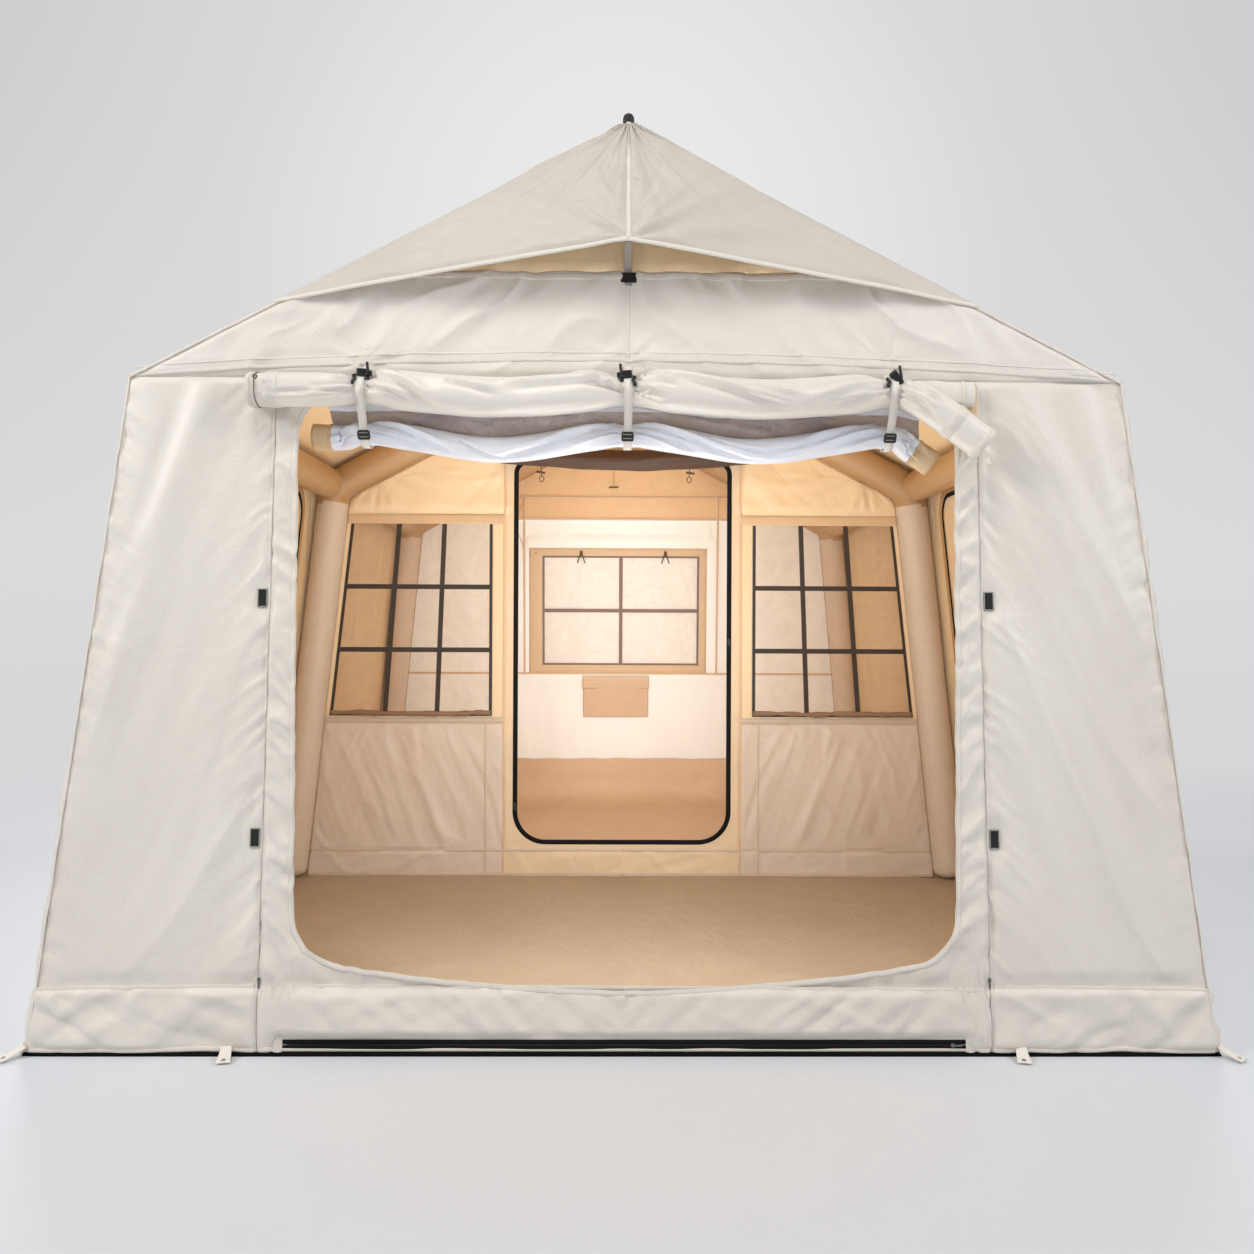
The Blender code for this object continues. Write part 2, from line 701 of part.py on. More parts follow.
def roof_fly():
    """The outer roof layer: two slopes over the ridge and a hood at each end, drawn out to a tip."""
    out = 2 * GAP + FABRIC
    tip = level(HOOD_TIP_HEIGHT)
    points = []
    for wall in (FRONT, REAR):
        end = wall.at(out)
        points.append(meet(end, LEFT_ROOF.at(out), level(FLY_EDGE_HEIGHT)))
        points.append(meet(end, LEFT_ROOF.at(out), RIGHT_ROOF.at(out)))
        points.append(meet(end, RIGHT_ROOF.at(out), level(FLY_EDGE_HEIGHT)))
        points.append(meet(wall.at(HOOD_REACH), upright(0), tip))
    slopes = [(0, 1, 5, 4), (1, 2, 6, 5)]
    hoods = [(0, 3, 1), (1, 3, 2), (4, 5, 7), (5, 6, 7)]
    folded("roof_fly", points, slopes + hoods, FABRIC, shell_fabric())
    ridge = meet(FRONT.at(-CAP_SETBACK), LEFT_ROOF.at(out), RIGHT_ROOF.at(out))
    straight = CAP_HEIGHT - CAP_RADIUS
    dome = [(CAP_RADIUS * math.cos(a), straight + CAP_RADIUS * math.sin(a)) for a in quarter_turn(5)]
    profile = [*dome, (CAP_RADIUS, 0), (0, 0)]
    place = Matrix.Translation(ridge + Vector((0, 0, GAP)))
    turned("peak_cap", profile, place, black_plastic(), 20)


def quarter_turn(steps):
    return [math.pi / 2 * (1 - i / steps) for i in range(steps + 1)]


def edge_on(wall, x):
    """Axes to draw a strap seen edge on: x out of a wall, y up it, at that place along it."""
    across, up, out = (wall.axes.col[i] for i in range(3))
    placed = Matrix((out, up, -across)).transposed().to_4x4()
    placed.translation = wall.foot + across * x
    return placed


def hood_strap():
    """The webbing that draws the hood's tip down to the gable, and the buckle that slides on it."""
    near = GAP + HOOD_STRAP_THICK / 2
    tip_up = HOOD_TIP_HEIGHT - 3 * HOOD_STRAP_THICK
    tip_out = HOOD_REACH - 4 * HOOD_STRAP_THICK
    low, knee = HOOD_TIP_HEIGHT - HOOD_STRAP_DROP, HOOD_TIP_HEIGHT - HOOD_STRAP_KNEE_DROP
    path = [(near, low), (near, knee), (tip_out, tip_up)]
    outline = ribbon(path, HOOD_STRAP_THICK)
    plate("hood_strap", [outline], HOOD_STRAP_WIDTH, edge_on(FRONT, 0), webbing())
    half_width, half_height = BUCKLE_SIZE[0] / 2, BUCKLE_SIZE[1] / 2
    middle = HOOD_TIP_HEIGHT - BUCKLE_DROP
    edge = rectangle(-half_width, half_width, middle - half_height, middle + half_height)
    front = 2 * GAP + HOOD_STRAP_THICK + BUCKLE_THICK
    body = rounded(edge, BUCKLE_ROUND, 2)
    buckle = sheet("hood_buckle", FRONT, [body], black_plastic(), front, BUCKLE_THICK)
    on_axis(buckle, FRONT.point(0, middle, front), FRONT.axes.col[1])


def threshold_zip():
    strip = rectangle(-ZIP_HALF_LENGTH, ZIP_HALF_LENGTH, ZIP_LOW, ZIP_HIGH)
    sheet("threshold_zip", FRONT, [strip], black_tape(), GAP + ZIP_THICK, ZIP_THICK)


def ground_sheet():
    """The floor, whose edge meets the inner faces of the walls."""
    clear = -(FABRIC + GAP)
    ground = level(FLOOR_FABRIC)
    corners = [
        meet(ground, front, side)
        for front, side in (
            (FRONT.at(clear), LEFT.at(clear)),
            (FRONT.at(clear), RIGHT.at(clear)),
            (REAR.at(clear), RIGHT.at(clear)),
            (REAR.at(clear), LEFT.at(clear)),
        )
    ]
    place = Matrix.Translation((0, 0, FLOOR_FABRIC / 2))
    plate("ground_sheet", [[(c.x, c.y) for c in corners]], FLOOR_FABRIC, place, floor_fabric())


# Partition


def grid_holes(corners, columns, rows):
    """The holes of a window's tape grid, inside four corners given from the lower left, anticlockwise."""
    edge = [Vector(c) for c in inset(corners, [GRID_BORDER + EDGE_SLACK] * 4)]
    holes = []
    for row in range(rows):
        for column in range(columns):
            share = [
                (column / columns, row / rows),
                ((column + 1) / columns, row / rows),
                ((column + 1) / columns, (row + 1) / rows),
                (column / columns, (row + 1) / rows),
            ]
            pane = []
            for across, up in share:
                low = edge[0].lerp(edge[1], across)
                high = edge[3].lerp(edge[2], across)
                pane.append(tuple(low.lerp(high, up)))
            outer = [row > 0, column < columns - 1, row < rows - 1, column > 0]
            holes.append(inset(pane, [GRID_BAR / 2 if shared else 0.0 for shared in outer]))
    return holes


def leg_edge(up, clearance):
    """How far from the middle the inner side of the middle arch's leg is, at that height."""
    inside = LEFT.at(-(FABRIC + 2 * GAP + 2 * ARCH_RADIUS + clearance))
    return -meet(MIDDLE.at(), inside, level(up)).x


def partition():
    """The middle wall, sewn inside the middle arch, with a doorway and two grid windows."""
    inside = -(FABRIC + 2 * GAP + 2 * ARCH_RADIUS)
    plane = MIDDLE.at()
    floor = level(FLOOR_FABRIC + GAP)
    corners = [
        meet(plane, LEFT.at(inside), floor),
        meet(plane, RIGHT.at(inside), floor),
        meet(plane, RIGHT.at(inside), RIGHT_ROOF.at(inside)),
        meet(plane, LEFT_ROOF.at(inside), RIGHT_ROOF.at(inside)),
        meet(plane, LEFT.at(inside), LEFT_ROOF.at(inside)),
    ]
    flat = [MIDDLE.flat(c) for c in corners]
    bend = ARCH_BEND - ARCH_RADIUS - GAP
    edge = [flat[0], flat[1]]
    for i in (2, 3, 4):
        edge += fillet(flat[i], flat[i - 1], flat[(i + 1) % 5], bend, 4)
    low, high = WINDOW_UP
    foot, head = (leg_edge(up, WINDOW_LEG_MARGIN) for up in WINDOW_UP)
    right = [(WINDOW_INNER_X, low), (foot, low), (head, high), (WINDOW_INNER_X, high)]
    left = [(-x, y) for x, y in (right[1], right[0], right[3], right[2])]
    doorway = rectangle(-DOORWAY_HALF, DOORWAY_HALF, *DOORWAY_UP)
    holes = [rounded(doorway, DOORWAY_ROUND, 5), left, right]
    sheet("partition_wall", MIDDLE, [edge, *holes], inner_fabric(), FABRIC / 2)
    for side, window in (("left", left), ("right", right)):
        pane = inset(window, [EDGE_SLACK] * 4)
        sheet(side + "_window_pane", MIDDLE, [pane], clear_film(), 0.0, PANE)
        grid = [pane, *grid_holes(window, 3, 3)]
        sheet(side + "_window_grid", MIDDLE, grid, black_tape(), FABRIC / 2, FABRIC / 2 - GAP)
    front = FABRIC / 2 + GAP
    half = DOOR_ZIP_WIDTH / 2
    outer = rounded(inset(doorway, [-half] * 4), DOORWAY_ROUND + half, 5)
    inner = rounded(inset(doorway, [half] * 4), DOORWAY_ROUND - half, 5)
    sheet("partition_door_zip", MIDDLE, [outer, inner], black_tape(), front + ZIP_THICK, ZIP_THICK)
    out = front + ZIP_THICK + GAP + SLIDER_SIZE[1] / 2
    for side, x, height in (
        ("left", -DOORWAY_HALF, LEFT_SLIDER_HEIGHT),
        ("right", DOORWAY_HALF, RIGHT_SLIDER_HEIGHT),
    ):
        place = Matrix.Translation((x, -out, height))
        slider = block(side + "_zip_slider", SLIDER_SIZE, place, black_plastic(), SLIDER_BEVEL)
        on_axis(slider, (x, -out, height), (0, 0, 1))


def partition_door_roll():
    """The partition's own door, rolled up above its doorway."""
    start, end = INNER_ROLL_ENDS
    height = DOORWAY_UP[1] + INNER_ROLL_LIFT
    points = []
    for i in range(13):
        share = i / 12
        sag = INNER_ROLL_SAG * abs(math.sin(2 * math.pi * share))
        y = -(FABRIC / 2 + GAP + INNER_ROLL_RADIUS)
        points.append((start + (end - start) * share, y, height - sag))
    tube("partition_door_roll", points, INNER_ROLL_RADIUS, inner_fabric(), 4)


# Rolled front doors


def beside_straps(x):
    """How far a place along the rolls is from the nearest strap, 0 under one."""
    return max(0.0, min(abs(x - at) for at in STRAP_X) - STRAP_HOLD / 2)


def past_straps(x):
    """How far a place lies beyond the last strap on its side, 0 between the straps."""
    return max(0.0, abs(x) - STRAP_X[-1] - STRAP_HOLD / 2)


def roll_shape(x, full, pinched, end):
    """A roll's radius: full between the straps, pinched under them and slimmer at its ends."""
    body = full + (end - full) * min(1.0, past_straps(x) / PINCH_WIDTH)
    return body + (pinched - body) * math.exp(-((beside_straps(x) / PINCH_WIDTH) ** 2))


def roll_drop(x, sag):
    """How far a roll hangs below its straps: a curve between them, and a droop past the right one."""
    if x > STRAP_X[-1]:
        past = past_straps(x)
        return math.tan(math.radians(DROOP_ANGLE)) * past * past / (past + DROOP_START)
    if x < STRAP_X[0]:
        return 0.0
    bay = STRAP_X[1] - STRAP_X[0] - STRAP_HOLD
    return sag * math.sin(math.pi * min(1.0, beside_straps(x) / bay)) ** 2


def roll_stations(ends):
    """Places along a roll: its ends, both edges of each strap's hold, and steps between them."""
    marks = [ends[0]]
    for at in STRAP_X:
        marks += [at - STRAP_HOLD / 2, at + STRAP_HOLD / 2]
    marks.append(ends[1])
    stations = [marks[0]]
    for start, end in zip(marks, marks[1:]):
        steps = max(1, round((end - start) / ROLL_STEP))
        for i in range(1, steps + 1):
            stations.append(start + (end - start) * (1 - math.cos(math.pi * i / steps)) / 2)
    return stations


def door_roll(name, ends, up, full, pinched, end, sag, outward, finish):
    """A rolled door along the front wall; outward gives its middle's distance from the wall."""
    points, widths = [], []
    for x in roll_stations(ends):
        radius = roll_shape(x, full, pinched, end)
        widths.append(radius / full)
        points.append(tuple(FRONT.point(x, up - roll_drop(x, sag), outward(x, radius))))
    return tube(name, points, full, finish, 4, widths)


def lower_roll_out(x, _radius):
    """The lower roll hangs in the doorway, with its ends drawn behind the door's edges."""
    past = min(1.0, past_straps(x) / PINCH_WIDTH)
    return LOWER_ROLL_OUT + (LOWER_ROLL_END_OUT - LOWER_ROLL_OUT) * past * past * (3 - 2 * past)


def rolled_doors():
    door_roll(
        "outer_door_roll",
        OUTER_ROLL_ENDS,
        OUTER_ROLL_UP,
        OUTER_ROLL_RADIUS,
        OUTER_ROLL_PINCH,
        OUTER_ROLL_END_RADIUS,
        OUTER_ROLL_SAG,
        lambda x, radius: radius + GAP,
        shell_fabric(),
    )
    door_roll(
        "inner_door_roll",
        LOWER_ROLL_ENDS,
        LOWER_ROLL_UP,
        LOWER_ROLL_RADIUS,
        LOWER_ROLL_PINCH,
        LOWER_ROLL_END_RADIUS,
        LOWER_ROLL_SAG,
        lower_roll_out,
        door_lining(),
    )


def strap_circles():
    """The middle and radius, out and up from the wall, of the strap's bends round the two rolls."""
    lift = 2 * GAP + STRAP_THICK / 2
    upper = Vector((OUTER_ROLL_PINCH + GAP, OUTER_ROLL_UP))
    lower = Vector((LOWER_ROLL_OUT, LOWER_ROLL_UP))
    return (upper, OUTER_ROLL_PINCH + lift), (lower, LOWER_ROLL_PINCH + lift)


def strap_tangent():
    """The angle at which the strap leaves the outer roll and meets the lower one, in degrees."""
    (upper, r1), (lower, r2) = strap_circles()
    down = lower - upper
    lead = math.asin((r1 - r2) / down.length)
    return math.degrees(math.atan2(down.y, down.x) + math.pi / 2 - lead)


def roll_straps():
    """Webbing from the eave seam round the front of both rolls, each with a clip that slides on it."""
    (upper, r1), (lower, r2) = strap_circles()
    tangent = strap_tangent()
    near = GAP + STRAP_THICK / 2
    low, high = (EAVE_HEIGHT + rise for rise in STRAP_ANCHOR_RISE)
    path = [(near, high), (near, low)]
    path += arc(upper, r1, STRAP_LAP, tangent, 9)
    path += arc(lower, r2, tangent, STRAP_END, 7)
    outline = ribbon(path, STRAP_THICK)
    out = Vector((math.cos(math.radians(tangent)), math.sin(math.radians(tangent))))
    up = Vector((-out.y, out.x))
    seat = lower + out * (r2 + STRAP_THICK / 2 + GAP + CLIP_THICK / 2) + up * CLIP_RISE
    half_width, half_height = CLIP_SIZE[0] / 2, CLIP_SIZE[1] / 2
    body = rounded(rectangle(-half_width, half_width, -half_height, half_height), CLIP_ROUND, 2)
    slots = [
        rectangle(-CLIP_SLOT[0] / 2, CLIP_SLOT[0] / 2, at - CLIP_SLOT[1] / 2, at + CLIP_SLOT[1] / 2)
        for at in (-CLIP_SLOT_AT, CLIP_SLOT_AT)
    ]
    on_strap = Matrix(((0, up.x, out.x, seat.x), (0, up.y, out.y, seat.y), (-1, 0, 0, 0), (0, 0, 0, 1)))
    for name, x in zip(("left", "centre", "right"), STRAP_X):
        drawn = edge_on(FRONT, x)
        plate(name + "_roll_strap", [outline], STRAP_WIDTH, drawn, webbing())
        place = drawn @ on_strap
        clip = plate(name + "_strap_clip", [body, *slots], CLIP_THICK, place, black_plastic())
        on_axis(clip, place.translation, place.col[1].to_3d())


# Tabs and stake loops


def wall_tabs():
    """Hook-and-loop tabs beside the zipped seams, sewn on along their outer edge."""
    outward = GAP + TAB_THICK
    for side, sign in (("left", -1), ("right", 1)):
        inner, outer = sign * (TAB_X - TAB_SIZE[0] / 2), sign * (TAB_X + TAB_SIZE[0] / 2)
        for level_name, up in zip(("lower", "upper"), TAB_UP):
            edges = (*sorted((inner, outer)), up - TAB_SIZE[1] / 2, up + TAB_SIZE[1] / 2)
            name = f"{side}_{level_name}_tab"
            tab = sheet(name, FRONT, [rectangle(*edges)], black_tape(), outward, TAB_THICK)
            hinge(tab, FRONT.point(outer, up, outward), (-sign, 0, 0), FRONT.normal)


def stake_loop(name, place, towards):
    """A webbing tab with an eyelet, lying on the ground with its sewn end at a place."""
    inner, outer = LOOP_INNER_WIDTH / 2, LOOP_OUTER_WIDTH / 2
    outline = [(-inner, 0), (-outer, -LOOP_LENGTH), (outer, -LOOP_LENGTH), (inner, 0)]
    eyelet = circle((0, -LOOP_LENGTH + EYELET_FROM_END), EYELET_RADIUS)
    turn = math.atan2(towards[1], towards[0]) + math.pi / 2
    matrix = Matrix.Translation((*place, LOOP_THICK / 2)) @ Matrix.Rotation(turn, 4, "Z")
    loop = plate(name, [outline, eyelet], LOOP_THICK, matrix, webbing())
    hinge(loop, (*place, LOOP_THICK), (*towards, 0), (0, 0, 1))


def stake_loops():
    """One loop at each corner, and two along the front beside the seams."""
    for end, y in (("front", -1), ("rear", 1)):
        for side, x in (("left", -1), ("right", 1)):
            diagonal = Vector((x, y)).normalized()
            corner = Vector((x * HALF_WIDTH, y * HALF_DEPTH)) + diagonal * GAP
            stake_loop(f"{end}_{side}_corner_loop", corner, diagonal)
    for side, x in (("left", -1), ("right", 1)):
        stake_loop(f"front_{side}_loop", (x * LOOP_X, -(HALF_DEPTH + GAP)), (0, -1))


def build():
    fat_arches = air_arches()
    longitudinal_beams(fat_arches)
    inflation_valve(fat_arches)
    ground_sheet()
    front_wall()
    rear_wall()
    side_walls()
    roof()
    roof_fly()
    hood_strap()
    threshold_zip()
    partition()
    partition_door_roll()
    rolled_doors()
    roll_straps()
    wall_tabs()
    stake_loops()


def collection(name):
    made = bpy.data.collections.new(name)
    bpy.context.scene.collection.children.link(made)
    return made


for leftover in list(bpy.data.objects):
    bpy.data.objects.remove(leftover)
TENT = collection("inflatable_tent")
CUTTERS = collection("cutters")
CUTTERS.hide_render = True
build()
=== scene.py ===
"""The inflatable cabin tent, dressed for its studio picture. Metres, +Z up, the front at -Y, left at -X."""

import math

import bpy
import numpy as np
from mathutils import Matrix, Vector


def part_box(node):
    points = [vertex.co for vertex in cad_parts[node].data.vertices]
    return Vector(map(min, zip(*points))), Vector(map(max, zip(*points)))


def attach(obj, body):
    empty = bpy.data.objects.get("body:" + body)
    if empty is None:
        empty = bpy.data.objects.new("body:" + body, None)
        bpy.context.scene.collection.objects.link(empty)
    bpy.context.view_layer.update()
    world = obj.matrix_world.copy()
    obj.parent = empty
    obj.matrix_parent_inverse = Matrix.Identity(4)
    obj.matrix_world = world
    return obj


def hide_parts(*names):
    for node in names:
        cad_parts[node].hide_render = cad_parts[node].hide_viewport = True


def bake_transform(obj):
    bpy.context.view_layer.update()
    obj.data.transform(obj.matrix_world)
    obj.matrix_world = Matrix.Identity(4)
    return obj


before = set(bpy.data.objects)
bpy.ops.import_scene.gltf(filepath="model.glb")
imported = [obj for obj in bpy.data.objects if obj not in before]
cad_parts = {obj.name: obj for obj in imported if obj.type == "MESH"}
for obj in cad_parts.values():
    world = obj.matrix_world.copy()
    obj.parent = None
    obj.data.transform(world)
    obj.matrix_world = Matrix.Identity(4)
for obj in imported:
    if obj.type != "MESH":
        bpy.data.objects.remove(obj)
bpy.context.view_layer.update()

# Camera
# A 30 mm lens at chest height, close in front of the entrance, turned a little to the right. The image is
# 1254 pixels square.
IMAGE = 1254
FOCAL_PIXELS = 1037
EYE = (-0.030, -4.788, 1.138)
PITCH, YAW, ROLL = 0.0043, 0.0106, 0.0045

forward = Vector((math.sin(YAW) * math.cos(PITCH), math.cos(YAW) * math.cos(PITCH), math.sin(PITCH)))
level_right = Vector((math.cos(YAW), -math.sin(YAW), 0))
level_up = level_right.cross(forward)
right = level_right * math.cos(ROLL) + level_up * math.sin(ROLL)
up = level_up * math.cos(ROLL) - level_right * math.sin(ROLL)

lens = bpy.data.cameras.new("camera")
lens.sensor_width = 36
lens.lens = lens.sensor_width * FOCAL_PIXELS / IMAGE
lens.clip_end = 60
camera = bpy.data.objects.new("camera", lens)
camera.matrix_world = Matrix.Translation(EYE) @ Matrix((right, up, -forward)).transposed().to_4x4()
bpy.context.scene.collection.objects.link(camera)
bpy.context.scene.camera = camera
bpy.context.scene.view_settings.view_transform = "Standard"


# Studio
# A pale floor that runs up into a backdrop, soft lights from both sides that rake the cloth, an even world, and
# warm lamps inside the tent, which stand for the daylight that comes through its fabric.


class Value:
    """A shader socket that Python's operators work on, each of them adding one Math node."""

    def __init__(self, graph, socket):
        self.graph = graph
        self.socket = socket

    def math(self, operation, *others):
        return self.graph.node("Math", {"operation": operation}, dict(enumerate((self, *others))))

    def flipped(self, operation, other):
        return self.graph.node("Math", {"operation": operation}, {0: other, 1: self})

    def __add__(self, other):
        return self.math("ADD", other)

    def __radd__(self, other):
        return self.flipped("ADD", other)

    def __sub__(self, other):
        return self.math("SUBTRACT", other)

    def __rsub__(self, other):
        return self.flipped("SUBTRACT", other)

    def __mul__(self, other):
        return self.math("MULTIPLY", other)

    def __rmul__(self, other):
        return self.flipped("MULTIPLY", other)

    def __truediv__(self, other):
        return self.math("DIVIDE", other)

    def __pow__(self, other):
        return self.math("POWER", other)

    def __abs__(self):
        return self.math("ABSOLUTE")


class Graph:
    """The nodes of one material."""

    def __init__(self, name):
        self.material = bpy.data.materials.new(name)
        self.material.use_nodes = True
        self.tree = self.material.node_tree
        self.tree.nodes.clear()

    def node(self, kind, settings=None, inputs=None, output=0):
        """Adds a node, makes its settings, then sets or links its sockets, and gives one output back."""
        made = self.tree.nodes.new("ShaderNode" + kind)
        for key, setting in (settings or {}).items():
            if key == "stops":
                for stop, (place, colour) in zip(made.color_ramp.elements, setting):
                    stop.position = place
                    stop.color = colour
            else:
                setattr(made, key, setting)
        for key, value in (inputs or {}).items():
            if isinstance(value, Value):
                self.tree.links.new(value.socket, made.inputs[key])
            else:
                made.inputs[key].default_value = value
        return Value(self, made.outputs[output])

    def mix(self, factor, first, second):
        """One colour fading into another."""
        return self.node("Mix", {"data_type": "RGBA"}, {0: factor, 6: first, 7: second}, 2)

    def noise(self, where, scale, detail=2.0, roughness=0.5, distortion=0.0):
        inputs = {"Vector": where, "Scale": scale, "Detail": detail}
        inputs.update({"Roughness": roughness, "Distortion": distortion})
        return self.node("TexNoise", None, inputs)

    def object_place(self):
        return self.node("TexCoord", output=3)

    def cloth_place(self):
        """The piece's own flat coordinates, whole and as x and y."""
        flat = self.node("UVMap", {"uv_map": "cloth"})
        return flat, *(self.node("SeparateXYZ", None, {0: flat}, axis) for axis in (0, 1))

    def bump(self, height, strength=1.0):
        """Height in metres as a disturbed normal."""
        return self.node("Bump", None, {"Strength": strength, "Distance": 1.0, "Height": height})

    def done(self, shader):
        output = self.tree.nodes.new("ShaderNodeOutputMaterial")
        self.tree.links.new(shader.socket, output.inputs["Surface"])
        return self.material

    def coated(self, inputs):
        """Finishes the material with one Principled shader."""
        return self.done(self.node("BsdfPrincipled", None, inputs))


def tone(red, green, blue):
    """A colour written as it shows, 0 to 255, as the linear one that a shader takes."""
    shown = np.array([red, green, blue]) / 255
    linear = np.where(shown <= 0.04045, shown / 12.92, ((shown + 0.055) / 1.055) ** 2.4)
    return (*linear.tolist(), 1.0)


def grid_mesh(name, points, uv=None, wrap=False, caps=False):
    """A mesh of quads over a grid of points (rows, columns, 3). A wrapped grid closes across its columns,
    and caps close its first and last row with one face each."""
    rows, columns = points.shape[:2]
    index = np.arange(rows * columns).reshape(rows, columns)
    if wrap:
        index = np.concatenate([index, index[:, :1]], axis=1)
    quads = np.stack([index[:-1, :-1], index[:-1, 1:], index[1:, 1:], index[1:, :-1]], axis=-1)
    quads = quads.reshape(-1, 4)
    loops = quads.ravel()
    starts = np.arange(len(quads)) * 4
    if caps:
        ends = [index[0, :columns][::-1], index[-1, :columns]]
        starts = np.concatenate([starts, [len(loops), len(loops) + columns]])
        loops = np.concatenate([loops, *ends])
    mesh = bpy.data.meshes.new(name)
    mesh.vertices.add(rows * columns)
    mesh.vertices.foreach_set("co", points.reshape(-1).astype(np.float32))
    mesh.loops.add(len(loops))
    mesh.loops.foreach_set("vertex_index", loops.astype(np.int32))
    mesh.polygons.add(len(starts))
    mesh.polygons.foreach_set("loop_start", starts.astype(np.int32))
    if uv is not None:
        layer = mesh.uv_layers.new(name="cloth")
        layer.data.foreach_set("uv", uv.reshape(-1, 2)[loops].reshape(-1).astype(np.float32))
    mesh.update(calc_edges=True)
    mesh.shade_smooth()
    return mesh


def shown(name, mesh, *finishes):
    """An object at the origin with its finishes."""
    for finish in finishes:
        mesh.materials.append(finish)
    made = bpy.data.objects.new(name, mesh)
    bpy.context.scene.collection.objects.link(made)
    return made


STAGE_WIDTH = 26.0
STAGE_FRONT, STAGE_BEND, STAGE_TOP = -9.0, 6.5, 11.0
BEND_RADIUS = 4.0

run = np.linspace(STAGE_FRONT, STAGE_BEND, 24)
turn = np.linspace(0, math.pi / 2, 24)
profile = np.concatenate([
    np.stack([run, np.zeros_like(run)], axis=1),
    np.stack([STAGE_BEND + BEND_RADIUS * np.sin(turn), BEND_RADIUS * (1 - np.cos(turn))], axis=1)[1:],
    [[STAGE_BEND + BEND_RADIUS, STAGE_TOP]],
])
across = np.linspace(-STAGE_WIDTH / 2, STAGE_WIDTH / 2, 12)
stage_points = np.stack([
    np.broadcast_to(across, (len(profile), len(across))),
    np.broadcast_to(profile[:, :1], (len(profile), len(across))),
    np.broadcast_to(profile[:, 1:], (len(profile), len(across))),
], axis=-1)
graph = Graph("studio_paper")
place = graph.object_place()
x, y, z = (graph.node("SeparateXYZ", None, {0: place}, axis) for axis in (0, 1, 2))
paper = graph.mix(graph.noise(place, 0.3) * 0.3, tone(219, 222, 227), tone(210, 213, 218))
lit = graph.node("BsdfPrincipled", None, {"Base Color": paper, "Roughness": 0.55, "Specular IOR Level": 0.25})
from_peak = (x * x / 34.0 + (z - 7.0) * (z - 7.0) / 26.0).math("MINIMUM", 1.0)
wide = abs(x) / 9.2 * (abs(x) / 9.2) * ((z - 1.0).math("MAXIMUM", 0.0) / 9.4)
glow = graph.mix(from_peak, tone(234, 234, 235), tone(221, 221, 223))
glow = graph.mix((wide * 1.1).math("MINIMUM", 1.0), glow, tone(206, 206, 208))
low = (1 - (z / 2.4).math("MINIMUM", 1.0)) * 0.85
glow = graph.mix(low, glow, tone(213, 213, 215))
backdrop = graph.node("Emission", None, {"Color": glow, "Strength": 1.0})
far = ((y + 0.5) / 4.5).math("MAXIMUM", 0.0).math("MINIMUM", 1.0)
seen = graph.node("LightPath").math("MAXIMUM", graph.node("LightPath", output=4))
studio_paper = graph.done(graph.node("MixShader", None, {0: far * seen, 1: lit, 2: backdrop}))
shown("studio", grid_mesh("studio", stage_points), studio_paper)


def lamp(name, place, target, size, power, colour, spread=180):
    """A square soft light that doesn't show itself."""
    light = bpy.data.lights.new(name, "AREA")
    light.size = size
    light.energy = power
    light.color = colour
    light.spread = math.radians(spread)
    made = bpy.data.objects.new(name, light)
    aim = (Vector(target) - Vector(place)).to_track_quat("-Z", "Y").to_matrix().to_4x4()
    made.matrix_world = Matrix.Translation(place) @ aim
    made.visible_camera = False
    bpy.context.scene.collection.objects.link(made)


lamp("key", (-6.8, -4.7, 5.0), (0, -1.8, 1.2), 2.4, 278, (1.0, 0.99, 0.975))
lamp("fill", (6.8, -4.7, 5.2), (0, -1.8, 1.2), 2.4, 250, (0.995, 0.99, 0.99))
lamp("overhead", (-0.8, -5.2, 7.6), (0, -2.0, 1.0), 1.8, 142, (1.0, 0.99, 0.98))
lamp("rear_key", (-5.2, 6.6, 4.8), (0, 1.9, 1.2), 2.4, 230, (1.0, 0.99, 0.98))
lamp("rear_fill", (5.6, 6.6, 5.2), (0, 1.9, 1.2), 2.4, 150, (1.0, 0.99, 0.98))
lamp("low_bounce", (0, -4.6, 0.5), (0, -2.0, 1.75), 1.8, 3.2, (1.0, 1.0, 1.0), 70)
lamp("front_room", (0, -1.7, 1.0), (0, 0, 0.85), 1.5, 24, (0.90, 0.97, 1.0))
lamp("front_ceiling", (0, -1.0, 0.3), (0, -1.0, 3), 1.4, 14, (0.92, 0.98, 1.0), 110)
lamp("rear_room", (0, 0.2, 1.00), (0, 2, 1.00), 1.6, 11, (0.98, 0.98, 1.0), 120)
lamp("rear_ceiling", (0, 0.85, 0.15), (0, 0.85, 3), 0.9, 5.5, (0.92, 0.98, 1.0), 90)
world = bpy.data.worlds.new("studio_air")
world.use_nodes = True
world.node_tree.nodes["Background"].inputs["Color"].default_value = (0.98, 0.99, 1.0, 1)
world.node_tree.nodes["Background"].inputs["Strength"].default_value = 0.32
bpy.context.scene.world = world


# Ground sheet
# A tub of coated polyester, tan inside and black underneath. A near-black tape round its edge is painted contact
# shadow below the hems.
# It lies on the ground with small ripples, and the walls are sewn to its edge.
EAVE, RIDGE = 1.85, 2.60
HALF_WIDTH, HALF_DEPTH = 1.60, 2.00
SIDE_LEAN, END_LEAN = 0.20, 0.14
FLOOR_TOP = 0.0042
TUB_SHADOW_EDGE = (0.013, 0.009)


